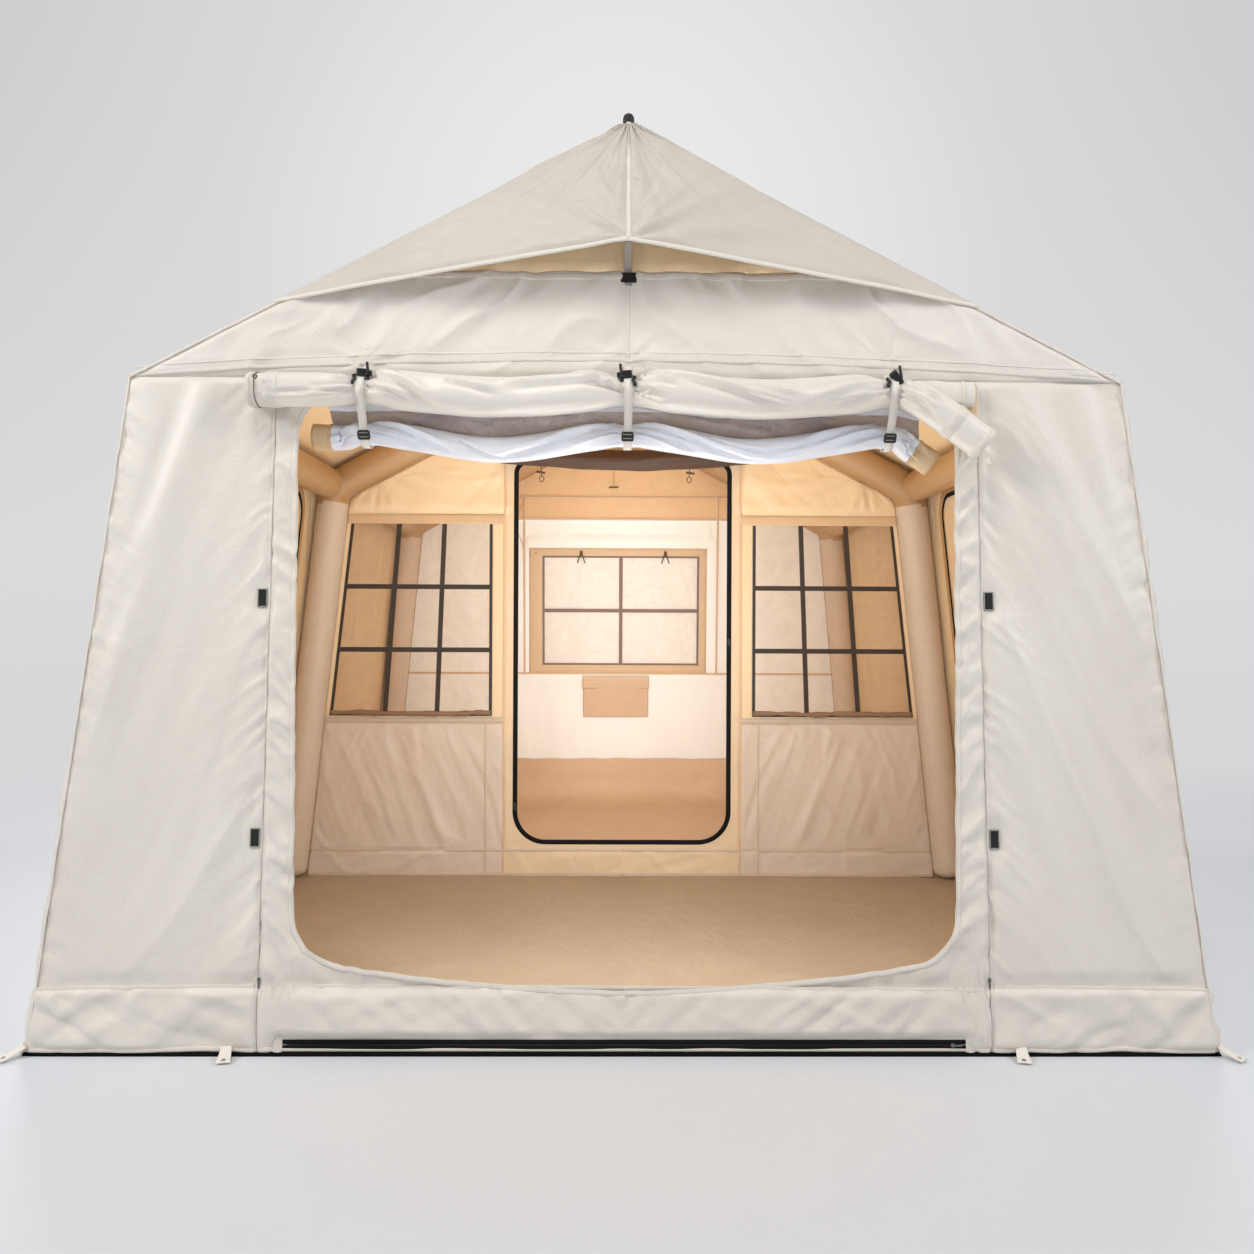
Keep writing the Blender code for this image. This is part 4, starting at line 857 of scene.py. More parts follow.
seam_up = VENT_UP - 0.012
seam_x = rake_x(seam_up) - 0.01
seam = line((-seam_x, seam_up), (seam_x, seam_up), 300)
seam[:, 1] += 0.0035 * lattice(seam[:, 0] / 0.06, seam[:, 0] * 0, 43)
wall_tape("vent_seam", FRONT, seam, gable_relief, (0.019, 0.0022), cream_tape)
seam = line((0, EAVE_UP + EAVE_BOW), (0, VENT_UP - 0.02), 80)
wall_tape("gable_middle_seam", FRONT, seam, gable_relief, MID_SEAM, cream_tape)
share = np.linspace(-1, 1, 300)
seam = np.stack([share * (EAVE_X - 0.01), EAVE_UP + 0.004 + EAVE_BOW * (1 - share**2)], axis=1)
wall_tape("eave_seam", FRONT, seam, gable_relief, HEM_TAPE, cream_tape, 0.0004)
wall_tape("eave_flap_seam", FRONT, seam + (0, 0.022), gable_relief, (0.006, 0.0012), cream_tape, 0.0002)


# Roof fly
# An outer roof layer in one piece: it lies over both slopes, and at each end it falls as a hood whose tip is
# drawn out and held down by a strap. Its edges are turned in a double hem.
FLY_LIFT = 0.0040
FLY_EDGE, HOOD_TIP, HOOD_REACH = 2.07, 2.215, 0.12


def plane(wall, out=0.0):
    return wall.normal, wall.normal @ wall.foot + out


def height_plane(height):
    return (0, 0, 1), height


def meet(*planes):
    """The point that three planes share."""
    return np.linalg.solve([normal for normal, _ in planes], [distance for _, distance in planes])


def fly_half(slope):
    """One half of the fly as (rows, columns, 3) from its lower edge to the ridge. Its columns run along the
    edge: in front from the hood's tip out to the corner, back along the slope, and round the rear hood."""
    lower, upper, normal, ease_side = [], [], [], []
    left, right, low = plane(LEFT_ROOF, FLY_LIFT), plane(RIGHT_ROOF, FLY_LIFT), height_plane(FLY_EDGE)
    peaks = [meet(plane(end, FLY_LIFT), left, right) for end in (FRONT, REAR)]
    corners = [meet(plane(end, FLY_LIFT), plane(slope, FLY_LIFT), low) for end in (FRONT, REAR)]
    tips = [meet(plane(end, HOOD_REACH), ((1, 0, 0), 0), height_plane(HOOD_TIP)) for end in (FRONT, REAR)]
    stations = ((tips[0], corners[0], peaks[0], peaks[0], 100, FRONT),
                (corners[0], corners[1], peaks[0], peaks[1], 100, slope),
                (corners[1], tips[1], peaks[1], peaks[1], 46, REAR))
    for start, end, top_start, top_end, count, faces in stations:
        share = np.linspace(0, 1, count)
        lower.append(line(start, end, count))
        upper.append(line(top_start, top_end, count))
        face = unit(np.cross(end - start, top_end - start))
        normal.append(np.broadcast_to(face * np.sign(face @ faces.normal), (count, 3)))
        ease_side.append(ease(np.minimum(share, 1 - share) / 0.04))
    lower, upper = np.concatenate(lower), np.concatenate(upper)
    normal, calm = np.concatenate(normal), np.concatenate(ease_side)
    rows = np.linspace(0, 1, 66)[:, None, None]
    base = lower[None] * (1 - rows) + upper[None] * rows
    x, y, z = base[..., 0], base[..., 1], base[..., 2]
    tip_pull = 0.0160 * fan(x, z, (0, HOOD_TIP), 0.30, 5.5, 51, 0.9)
    tip_pull = tip_pull + 0.0130 * fan(x, z, (0, RIDGE), 0.45, 6.5, 52)
    tip_pull = tip_pull + 0.0070 * folds(np.abs(x), z, 152, 0.14, 0.032, 53) * fading(x, 0.08)
    drape = 0.0100 * folds(np.abs(x), z, 148, 0.8, 0.11, 54) + 0.008 + 0.004 * cloudy(x / 0.4, z / 0.3, 55)
    hood = (tip_pull + drape) * (np.abs(y) > 1.75)
    slope_folds = 0.006 + 0.0065 * folds(y, z, 86, 0.8, 0.20, 56)
    slope_folds = slope_folds + 0.0045 * creases(y, z, 62, 0.7, 0.25, 57, 4)
    on_slope = (np.abs(normal[None, :, 0]) > 0.3) & (np.abs(normal[None, :, 1]) < 0.2)
    height = np.where(on_slope, slope_folds, hood)
    edge = ease((1 - rows[..., 0]) / 0.03) * (0.35 + 0.65 * ease(rows[..., 0] / 0.05))
    height = np.maximum(height, 0) * calm[None] * edge
    return base + height[..., None] * normal[None], lower, normal


left_fly, left_edge, left_normal = fly_half(LEFT_ROOF)
right_fly, _, right_normal = fly_half(RIGHT_ROOF)
fly_points = np.concatenate([left_fly, right_fly[::-1][1:]])
middle = left_fly.shape[1] // 2
left_run, right_run = lengths(left_fly[:, middle]), lengths(right_fly[::-1, middle])
fly_run = np.concatenate([left_run, left_run[-1] + right_run[1:]])
fly_flat = np.stack(np.broadcast_arrays(fly_run[:, None], lengths(left_edge)[None]), axis=-1)
# The fly's darker cream is painted shade.
fly = cloth("roof_fly_cloth", [(fly_points[:, ::-1], fly_flat[:, ::-1])], fly_cream_shaded, tan_lining, weld=True)
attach(fly, "tent")
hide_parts("roof_fly")
for label, points, normal in (("left", left_fly, left_normal), ("right", right_fly, right_normal)):
    hem_line = points[0] + normal * 0.0003
    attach(tape(f"fly_{label}_hem", hem_line, normal, 0.016, 0.0030, cream_binding), "tent")
for end, column in ((FRONT, 0), (REAR, -1)):
    label = "front" if column == 0 else "rear"
    ridge_line = left_fly[:, column] + end.normal * 0.0008
    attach(tape(f"{label}_hood_seam", ridge_line, end.normal, 0.014, 0.0026, cream_tape), "tent")


# Hood strap, buckle and peak cap
# Grey corded webbing draws the hood's tip down to the gable and runs through a flat black buckle. A black rubber
# cap closes the ridge.
STRAP_WIDTH, STRAP_THICK = 0.022, 0.0022
STRAP_ROUTE = ((0.0016, 2.128), (0.0016, 2.175), (0.108, 2.208))


def webbing_cloth(name, colour, shade, cord, gloss=0.5):
    """Webbing: fine cords that run its length, crossed by a twill whose rows lean."""
    graph = Graph(name)
    flat, x, y = graph.cloth_place()
    cords = abs((y * (math.pi / cord)).math("SINE"))
    twill = ((x + y * 1.5) * (2 * math.pi / 0.0017)).math("SINE")
    worn = graph.noise(graph.object_place(), 45, 4, 0.6)
    base = graph.mix(cords * 0.6 + twill * 0.15, shade, colour)
    base = graph.mix((worn - 0.45) * 0.9, base, shade)
    height = cords * 0.00016 + twill * 0.00006
    return graph.coated({
        "Base Color": base,
        "Roughness": worn * 0.2 + 0.6,
        "Specular IOR Level": gloss,
        "Normal": graph.bump(height),
    })


def moulded_plastic(name, colour, shade, roughness=0.38):
    """Moulded nylon: fine pitting, faint flow marks and paler scuffs."""
    graph = Graph(name)
    place = graph.object_place()
    pits = graph.noise(place, 420, 2)
    scuffs = graph.noise(place, 60, 5, 0.7, 1.0)
    marks = (scuffs - 0.58).math("MULTIPLY", 5.0).math("MINIMUM", 0.5).math("MAXIMUM", 0.0)
    base = graph.mix(marks, colour, shade)
    gloss = pits * 0.2 + (roughness - 0.1)
    return graph.coated({"Base Color": base, "Roughness": gloss, "Normal": graph.bump(pits * 0.0003)})


def finish_node(node, finish):
    """Gives a CAD node a finish in place of its plain one."""
    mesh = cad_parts[node].data
    mesh.materials.clear()
    mesh.materials.append(finish)


grey_webbing = webbing_cloth("grey_webbing", tone(190, 186, 178), tone(150, 145, 136), 0.0022)
black_nylon = moulded_plastic("black_nylon", tone(17, 17, 18), tone(46, 46, 47))
black_rubber = moulded_plastic("black_rubber", tone(22, 22, 22), tone(48, 47, 46), 0.55)

route = np.array(STRAP_ROUTE)
route = np.concatenate([line(route[0], route[1], 14)[:-1], line(route[1], route[2], 26)])
route[:, 1] += 0.002 * np.sin(np.linspace(0, math.pi, len(route)))
path = FRONT.place(0, route[:, 1], route[:, 0])
side_way = np.array([1.0, 0, 0])
strap_out = unit(np.cross(side_way, np.gradient(path, axis=0)))
strap = tape("hood_strap_webbing", path, strap_out, STRAP_WIDTH, STRAP_THICK, grey_webbing)
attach(strap, "tent")
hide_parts("hood_strap")
finish_node("hood_buckle", black_nylon)
finish_node("peak_cap", black_rubber)


# Roof
# The inner roof layer, sewn to the walls along the eaves and the gables, glows tan inside. It shows outside only
# between the fly's edge and the eave.
SHELL = 0.0034

roof_lining = fabric("roof_lining", tone(234, 202, 158), tone(218, 184, 138), 0.60, 0.0006)


def sheet_over(lower, upper, relief, rows, columns, normal):
    """A patch ruled from a lower edge to an upper one, each given by its two ends, with its flat size."""
    low, high = line(*lower, columns), line(*upper, columns)
    share = np.linspace(0, 1, rows)[:, None, None]
    base = low[None] * (1 - share) + high[None] * share
    run = lengths(low)[None] * np.ones((rows, 1))
    rise = share[..., 0] * np.linalg.norm(high - low, axis=1)[None]
    return base + relief(run, rise)[..., None] * normal, np.stack([run, rise], axis=-1)


def roof_relief(run, rise):
    """Slack folds below the fly's edge, and next to none under it."""
    shallow = 0.0006 + 0.0006 * cloudy(run / 0.3, rise / 0.3, 61)
    free = 0.004 + 0.004 * folds(run, rise, 84, 0.5, 0.14, 62)
    free = free + 0.003 * creases(run, rise, 60, 0.4, 0.2, 63)
    below = ease((0.42 - rise) / 0.12)
    height = shallow * (1 - below) + free * below
    return height * ease(rise / 0.03) * ease(run / 0.04) * ease((4 - run) / 0.4)


ends = [plane(FRONT, -SHELL), plane(REAR, -SHELL)]
patches = []
for slope, label in ((LEFT_ROOF, "left"), (RIGHT_ROOF, "right")):
    eave_ends = [meet(end, plane(slope), height_plane(EAVE)) for end in ends]
    peak_ends = [meet(end, plane(LEFT_ROOF), plane(RIGHT_ROOF)) for end in ends]
    points, flat = sheet_over(eave_ends, peak_ends, roof_relief, 46, 96, slope.normal)
    patches.append((points, flat) if label == "right" else (points[:, ::-1], flat[:, ::-1]))
roof = cloth("roof_cloth", patches, cream_cloth, roof_lining, weld=True)
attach(roof, "tent")
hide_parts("roof")

for slope, label in ((LEFT_ROOF, "left"), (RIGHT_ROOF, "right")):
    eave_ends = [meet(plane(end, -0.01), plane(slope), height_plane(EAVE)) for end in (FRONT, REAR)]
    eave_line = line(*eave_ends, 240)
    out = unit(slope.normal + (LEFT if label == "left" else RIGHT).normal)
    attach(tape(f"{label}_eave_binding", eave_line, out, 0.018, 0.0030, cream_binding), "tent")
    for end, end_label in ((FRONT, "front"), (REAR, "rear")):
        start = meet(plane(end), plane(slope), height_plane(EAVE))
        stop = meet(plane(end), plane(slope), height_plane(FLY_EDGE + 0.015))
        rake_line = line(start, stop, 90)
        run = lengths(rake_line)
        rake_line = rake_line + 0.0012 * lattice(run / 0.05, run * 0, 64)[:, None] * end.normal
        out = unit(slope.normal + end.normal)
        binding = tape(f"{end_label}_{label}_rake_binding", rake_line, out, 0.016, 0.0034, cream_binding)
        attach(binding, "tent")


# Side walls
# Each side wall is one width of cloth with a zipped door in its front bay. It hangs in long folds from the eave
# and puckers at the corner seams, which show in the outline.
SIDE_DOOR_Y, SIDE_DOOR_UP = (-1.66, -0.21), (0.16, 1.735)
SIDE_DOOR_ROUND = 0.09
SIDE_TOP = math.hypot(EAVE, SIDE_LEAN)

side_lining = fabric("side_lining", tone(240, 214, 176), tone(226, 196, 154), 0.60, 0.0007)


def side_edge(up):
    """Half the length of a side wall at a distance up it."""
    return HALF_DEPTH - END_LEAN * up / SIDE_TOP


def side_relief(x, y):
    """Long folds that lean towards the corners, a band of slack above the hem, and puckered corner seams."""
    edge = side_edge(y) - np.abs(x)
    long = 0.0120 * folds(x, y, 83, 1.4, 0.17, 71) + 0.0080 * creases(x, y, 97, 1.0, 0.22, 72, 4)
    rim = 0.0090 * folds(-np.abs(x), y + 5 * (x > 0), 146, 0.14, 0.034, 73) * fading(edge, 0.06)
    hem = 0.0240 * facets(x, y, 32, 0.34, 0.085, 74) * ease((HEM_UP - y) / 0.03)
    under_eave = 0.0080 * folds(x, y, 78, 0.18, 0.045, 75) * fading(SIDE_TOP - y, 0.07)
    middle = 0.0080 * folds(np.abs(x), y, 44, 0.16, 0.036, 76) * fading(x, 0.06)
    height = 0.007 + 0.004 * cloudy(x / 0.6, y / 0.8, 77) + long + rim + hem + under_eave + middle
    sewn = ease(np.abs(x) / 0.012) * ease(np.abs(y - HEM_UP) / 0.008) * ease(edge / 0.012)
    return np.maximum(height, 0) * sewn * ease((SIDE_TOP - y) / 0.02) * ease(y / 0.006)


def framed_relief(outline_box, relief, flush=0.0, filled=True):
    """The relief, calmed near a rectangular opening so that what fills it lies flush, and kept flat for a
    distance outside it. Where nothing fills the opening, it stays flat inside too."""
    (x0, x1), (y0, y1) = outline_box

    def calmed(x, y):
        beyond_x, beyond_y = np.maximum(x0 - x, x - x1), np.maximum(y0 - y, y - y1)
        outside = np.hypot(np.maximum(beyond_x, 0), np.maximum(beyond_y, 0))
        inside = np.minimum(np.minimum(x - x0, x1 - x), np.minimum(y - y0, y1 - y))
        return relief(x, y) * ease(np.maximum(outside - flush, inside * filled) / 0.05)

    return calmed


def rounded_box(x_range, y_range, radius, count):
    """A rectangle with rounded corners, anticlockwise."""
    (x0, x1), (y0, y1) = x_range, y_range
    corners = [(x0, y0), (x1, y0), (x1, y1), (x0, y1)]
    arcs = [rounded_corner(corners[i], corners[i - 1], corners[(i + 1) % 4], radius, 16) for i in range(4)]
    return spaced(np.concatenate(arcs), count)


def cornered_box(x_range, y_range, radius, corner_count, edge_count):
    """The same outline with most of its points in its corners, from which a wall's widest parts spread."""
    (x0, x1), (y0, y1) = x_range, y_range
    corners = [(x0, y0), (x1, y0), (x1, y1), (x0, y1)]
    parts = []
    for i in range(4):
        following = (i + 1) % 4
        arc = rounded_corner(corners[i], corners[i - 1], corners[following], radius, corner_count)
        next_arc = rounded_corner(corners[following], corners[i], corners[(i + 2) % 4], radius, corner_count)
        parts += [arc, line(arc[-1], next_arc[0], edge_count + 2)[1:-1]]
    return np.concatenate(parts)


def rounded_panel(x_range, y_range, radius, rows, columns):
    """A rectangle with rounded corners as a grid: its rows shorten within a radius of its top and bottom."""
    (x0, x1), (y0, y1) = x_range, y_range
    share = 0.5 - 0.5 * np.cos(np.linspace(0, math.pi, rows))
    y = y0 + (y1 - y0) * (0.5 * share + 0.5 * np.linspace(0, 1, rows))
    near = np.clip(radius - np.minimum(y - y0, y1 - y), 0, radius)
    shorter = radius - np.sqrt(np.maximum(radius**2 - near**2, 0))
    across = np.linspace(0, 1, columns)[None]
    x = (x0 + shorter)[:, None] * (1 - across) + (x1 - shorter)[:, None] * across
    return np.stack([x, np.broadcast_to(y[:, None], x.shape)], axis=-1)


black_zip = webbing_cloth("black_zip", tone(8, 8, 9), tone(24, 24, 25), 0.0030, 0.15)
golden_tape = stitched_cloth("golden_tape", tone(196, 152, 98), tone(172, 126, 74), 0.034)

for wall, label, sign in ((LEFT, "left", -1), (RIGHT, "right", 1)):
    opening = sorted(sign * y for y in SIDE_DOOR_Y)
    front_edge = sign * -HALF_DEPTH
    relief = framed_relief((opening, SIDE_DOOR_UP), side_relief, 0.060)

    def widened(by):
        """The opening's ranges, widened on every side."""
        return [[low - by, high + by] for low, high in (opening, SIDE_DOOR_UP)]

    bottom, top = side_edge(0) * np.sign(front_edge), side_edge(SIDE_TOP) * np.sign(front_edge)
    if front_edge > 0:
        border = [(0, 0.001), (bottom, 0.001), (top, SIDE_TOP), (0, SIDE_TOP)]
    else:
        border = [(bottom, 0.001), (0, 0.001), (0, SIDE_TOP), (top, SIDE_TOP)]
    opening_line = cornered_box(opening, SIDE_DOOR_UP, SIDE_DOOR_ROUND, 40, 64)
    front_bay = ring(opening_line, border, 24)
    ups = np.linspace(0.001, SIDE_TOP, 104)
    far_edge = np.stack([-np.sign(front_edge) * side_edge(ups), ups], axis=1)
    rear_bay = np.swapaxes(ruled(np.stack([ups * 0, ups], 1), far_edge, 74), 0, 1)
    if front_edge > 0:
        rear_bay = rear_bay[:, ::-1]
    bays = [on_wall(wall, bay, relief) for bay in (front_bay, rear_bay)]
    side_wall = cloth(f"{label}_wall_cloth", bays, cream_cloth, side_lining, weld=True)
    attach(side_wall, "tent")
    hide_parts(f"{label}_wall")
    panel = rounded_panel(*widened(-0.0006), SIDE_DOOR_ROUND, 100, 80)
    door = cloth(f"{label}_side_door_cloth", [on_wall(wall, panel, relief)], cream_cloth, side_lining)
    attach(door, f"{label}_side_door")
    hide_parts(f"{label}_side_door")
    opening[1] - opening[0]
    zip_line = rounded_box(*widened(0.012), SIDE_DOOR_ROUND + 0.012, 420)
    wall_tape(f"{label}_side_door_flap", wall, zip_line, relief, (0.022, 0.0026), cream_binding, 0.0002, True)
    frame_line = rounded_box(*widened(0.040), SIDE_DOOR_ROUND + 0.040, 420)
    for name, flat, size, finish in (("zip", zip_line, (0.020, 0.0026), black_zip),
                                     ("frame", frame_line, (0.034, 0.0022), golden_tape)):
        path = wall.along(flat, relief(flat[:, 0], flat[:, 1]) - 0.0022)
        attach(tape(f"{label}_side_door_{name}", path[::-1], -wall.normal, *size, finish, True), "tent")
    middle = line((0, 0.004), (0, SIDE_TOP - 0.004), 200)
    wall_tape(f"{label}_middle_seam", wall, middle, relief, SEAM_TAPE, cream_tape)
    hem_line = line((-side_edge(HEM_UP), HEM_UP), (side_edge(HEM_UP), HEM_UP), 360)
    wall_tape(f"{label}_side_hem_seam", wall, hem_line, relief, HEM_TAPE, cream_tape)
    foot_line = line((-HALF_DEPTH, 0.008), (HALF_DEPTH, 0.008), 320)
    wall_tape(f"{label}_side_foot_hem", wall, foot_line, relief, FOOT_TAPE, cream_tape)
    for end, end_label in ((FRONT, "front"), (REAR, "rear")):
        foot = meet(plane(end), plane(wall), height_plane(0.004))
        head = meet(plane(end), plane(wall), height_plane(EAVE))
        corner = line(foot, head, 260)
        run = lengths(corner)
        out = unit(end.normal + wall.normal)
        corner = corner + (0.0012 * lattice(run / 0.045, run * 0, 78) + 0.0006)[:, None] * out
        binding = tape(f"{end_label}_{label}_corner_binding", corner, out, 0.010, 0.0024, cream_binding)
        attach(binding, "tent")


# Rear wall
# The rear wall has a window with a tape grid, closed outside by a cover, and a pocket below it. Inside, its
# cloth is pale and glows with daylight, and the bedroom's darker tub comes down along its foot.
REAR_WINDOW, REAR_WINDOW_UP = 0.505, (0.92, 1.63)
COVER_HALF, COVER_UP = 0.555, (0.87, 1.68)

rear_lining = fabric("rear_lining", tone(252, 249, 240), tone(249, 244, 232), 0.60, 0.0005, crease_darkening=0.12)
# Painted shade: the rear gable's lining is the rear wall's lining coloured the darker tan it shows in the shade
# under the roof.
rear_gable_shaded_lining = fabric("rear_gable_shaded_lining", tone(236, 198, 152), tone(224, 182, 134), 0.60, 0.0007)
tan_cloth = fabric("tan_cloth", tone(220, 186, 152), tone(204, 168, 132), 0.58, 0.0008)
tan_tape = stitched_cloth("tan_tape", tone(222, 190, 152), tone(202, 166, 126), 0.026)
graph = Graph("clear_film")
place = graph.object_place()
ripples = graph.noise(place, 5, 4, 0.6, 1.5)
line_mark = (1 - abs(ripples * 2 - 1)) ** 12
clear_film = graph.coated({
    "Base Color": graph.mix(ripples, tone(226, 190, 152), tone(206, 166, 126)),
    "Alpha": line_mark * 0.03 + 0.07,
    "Roughness": ripples * 0.15 + 0.08,
    "Normal": graph.bump(ripples * 0.004),
})


def rear_relief(x, y):
    """Faint folds that fall from the window's corners and the eave."""
    edge = corner_x(y) - np.abs(x)
    long = 0.0090 * folds(x, y, 86, 1.2, 0.16, 81) + 0.006 * creases(x, y, 72, 0.8, 0.24, 82)
    rim = 0.0055 * folds(-np.abs(x), y + 5 * (x > 0), 146, 0.13, 0.034, 83) * fading(edge, 0.06)
    pulls = 0.006 * fan(np.abs(x), y, (REAR_WINDOW, REAR_WINDOW_UP[0]), 0.18, 4, 84)
    pulls = pulls + 0.006 * fan(np.abs(x), y, (REAR_WINDOW, REAR_WINDOW_UP[1]), 0.16, 4, 85)
    hem = 0.0200 * facets(x, y, 30, 0.32, 0.080, 86) * ease((HEM_UP - y) / 0.03)
    height = 0.006 + 0.003 * cloudy(x / 0.5, y / 0.7, 87) + long + rim + pulls + hem
    sewn = ease(np.abs(y - HEM_UP) / 0.008) * ease(edge / 0.012)
    return np.maximum(height, 0) * sewn * ease((EAVE_UP - y) / 0.02) * ease(y / 0.006)


relief = framed_relief(((-COVER_HALF, COVER_HALF), COVER_UP), rear_relief, 0.045, False)
window_line = cornered_box((-REAR_WINDOW, REAR_WINDOW), REAR_WINDOW_UP, 0.004, 80, 44)
foot_x, top_x = corner_x(0), corner_x(EAVE_UP)
border = [(-foot_x, 0.001), (foot_x, 0.001), (top_x, EAVE_UP), (-top_x, EAVE_UP)]
rear_patch = on_wall(REAR, ring(window_line, border, 42, 1.5), relief)
rear = cloth("rear_wall_cloth", [rear_patch], cream_cloth, rear_lining, weld=True)
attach(rear, "tent")
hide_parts("rear_wall")


def rear_gable_relief(x, y):
    to_rake = rake_x(y) - np.abs(x)
    height = 0.006 + 0.006 * folds(x, y, 60, 0.4, 0.10, 88, 1.2)
    height = height + 0.004 * creases(x, y, 118, 0.3, 0.12, 89)
    return np.maximum(height, 0) * ease(to_rake / 0.05) * ease((y - EAVE_UP) / 0.02)


rear_gable_flat = gable_grid(EAVE_UP, PEAK_UP - 0.003, 54, 120)
rear_gable_patch = on_wall(REAR, rear_gable_flat, rear_gable_relief)
rear_gable = cloth("rear_gable_cloth", [rear_gable_patch], cream_cloth, rear_gable_shaded_lining)
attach(rear_gable, "tent")
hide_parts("rear_gable")
seam = line((-top_x + 0.01, EAVE_UP + 0.004), (top_x - 0.01, EAVE_UP + 0.004), 260)
wall_tape("rear_eave_seam", REAR, seam, rear_gable_relief, HEM_TAPE, cream_tape, 0.0004)
seam = line((-corner_x(HEM_UP), HEM_UP), (corner_x(HEM_UP), HEM_UP), 260)
wall_tape("rear_hem_seam", REAR, seam, relief, HEM_TAPE, cream_tape)
hem_line = line((-HALF_WIDTH, 0.008), (HALF_WIDTH, 0.008), 260)
wall_tape("rear_foot_hem", REAR, hem_line, relief, FOOT_TAPE, cream_tape)

cover = rounded_panel((-COVER_HALF, COVER_HALF), COVER_UP, 0.03, 66, 88)


def cover_relief(x, y):
    """The cover's soft folds; its edges lie flat."""
    edge = np.minimum(COVER_HALF - np.abs(x), np.minimum(y - COVER_UP[0], COVER_UP[1] - y))
    height = 0.004 + 0.005 * folds(x, y, 80, 0.6, 0.12, 91) + 0.004 * creases(x, y, 20, 0.4, 0.16, 92)
    return 0.0052 + np.maximum(height, 0) * ease(edge / 0.05)


flap = cloth("rear_window_cover", [on_wall(REAR, cover, cover_relief)], cream_cloth, rear_lining)
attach(flap, "rear_window_flap")
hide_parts("rear_window_flap")
cover_edge = rounded_box((-0.549, 0.549), (0.879, 1.674), 0.026, 300)
edge_path = REAR.along(cover_edge, 0.0054)
binding = tape("rear_cover_binding", edge_path, REAR.normal, 0.012, 0.0024, cream_binding, True)
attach(binding, "rear_window_flap")
finish_node("rear_window_pane", clear_film)
brown_tape = webbing_cloth("brown_tape", tone(158, 134, 116), tone(134, 112, 96), 0.0028)
finish_node("rear_window_grid", brown_tape)


INNER_DEPTH = 0.0036


def inner_tape(name, wall, flat, width, height, finish, depth=INNER_DEPTH):
    """A tape on the inner face of a wall."""
    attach(tape(name, wall.along(flat, -depth), -wall.normal, width, height, finish), "tent")


for name, start, end, width in (
    ("top", (-0.553, 1.652), (0.589, 1.652), 0.050), ("foot", (-0.553, 0.898), (0.589, 0.898), 0.050),
    ("left", (-0.530, 0.90), (-0.530, 1.65), 0.046), ("right", (0.548, 0.90), (0.548, 1.65), 0.082),
):
    inner_tape(f"rear_window_{name}_frame", REAR, line(start, end, 60), width, 0.003, tan_tape)
for name, start, end in (
    ("seam", (-1.05, 2.002), (1.05, 2.002)), ("low_seam", (-1.50, 0.868), (1.50, 0.868)),
    ("left_seam", (-0.62, 0.87), (-0.62, 2.0)), ("right_seam", (0.62, 0.87), (0.62, 2.0)),
):
    inner_tape(f"rear_{name}", REAR, line(start, end, 120), 0.012, 0.0016, tan_tape)

toggle_brown = moulded_plastic("toggle_brown", tone(92, 66, 44), tone(126, 96, 68), 0.5)
for label, across in (("left", 0.255), ("right", -0.285)):
    hook = REAR.place(across, 1.655, -0.012)
    spread = 0.024 * REAR.across
    for side, way in (("a", -1), ("b", 1)):
        foot = hook - 0.075 * REAR.up + way * spread
        cord = line(hook, foot, 20) - 0.004 * np.sin(np.linspace(0, math.pi, 20))[:, None] * REAR.normal
        cord_round(f"rear_{label}_toggle_cord_{side}", cord, 0.0036, toggle_brown)
    knot = REAR.place(across, 1.658 - 0.030 * np.linspace(0, 1, 10), -0.014)
    cord_round(f"rear_{label}_toggle_knot", knot, 0.0085, toggle_brown)

# A toggle hangs on the rear gable, and a thin string beside the window.
string_orange = webbing_cloth("string_orange", tone(226, 170, 112), tone(200, 140, 84), 0.0012)
hang = line((0.049, 2.185), (0.049, 2.070), 24)
cord_round("rear_gable_cord", REAR.along(hang, -0.010), 0.0016, string_orange)
bar = line((0.018, 2.066), (0.080, 2.064), 12)
cord_round("rear_gable_toggle", REAR.along(bar, -0.012), 0.0050, toggle_brown)
share = np.linspace(0, 1, 40)
string_x = 0.616 + 0.050 * np.sin(math.pi * share) ** 1.3 + 0.010 * share
cord_round("rear_window_string", REAR.place(string_x, 1.995 - 0.315 * share, -0.008), 0.0018, string_orange)

# The bedroom's tub comes down the rear wall, turns forward in a soft bend and lies on the ground up to the
# partition. Its cloth is slack, so that creases run down the bend.
TUB_TOP, TUB_BEND, TUB_REACH, TUB_HALF = 0.312, 0.20, 0.24, 1.36
on_rear = REAR.place(0, np.linspace(TUB_TOP, TUB_BEND, 10)[:-1], -0.0042)[:, 1:]
corner_yz = REAR.place(0, np.array([TUB_BEND, 0.0]), -0.0042)[:, 1:]
floor_start = np.array([corner_yz[1, 0] - TUB_REACH, 0.0])
share = np.linspace(0, 1, 24)[:, None]
bend = (1 - share) ** 2 * corner_yz[0] + 2 * share * (1 - share) * corner_yz[1] + share**2 * floor_start
tub_line = np.concatenate([on_rear, bend, line(floor_start, (0.06, 0.0), 58)[1:]])
tub_run = lengths(tub_line)
ahead = unit(np.gradient(tub_line, axis=0))
tub_out = np.stack([ahead[:, 1], -ahead[:, 0]], axis=1)
half = TUB_HALF + (corner_x(TUB_TOP) - 0.02 - TUB_HALF) * ease(1 - tub_run / (TUB_TOP - TUB_BEND))
tub_x = np.linspace(-1, 1, 130)[None] * half[:, None]
tub_down = np.broadcast_to(tub_run[:, None], tub_x.shape)
slack = 0.016 * facets(tub_x, tub_down, 62, 0.55, 0.16, 94)
slack = slack + 0.008 * folds(tub_x, tub_down, 112, 0.5, 0.09, 96)
near_bend = 0.35 + 0.65 * ease((0.75 - tub_down) / 0.4)
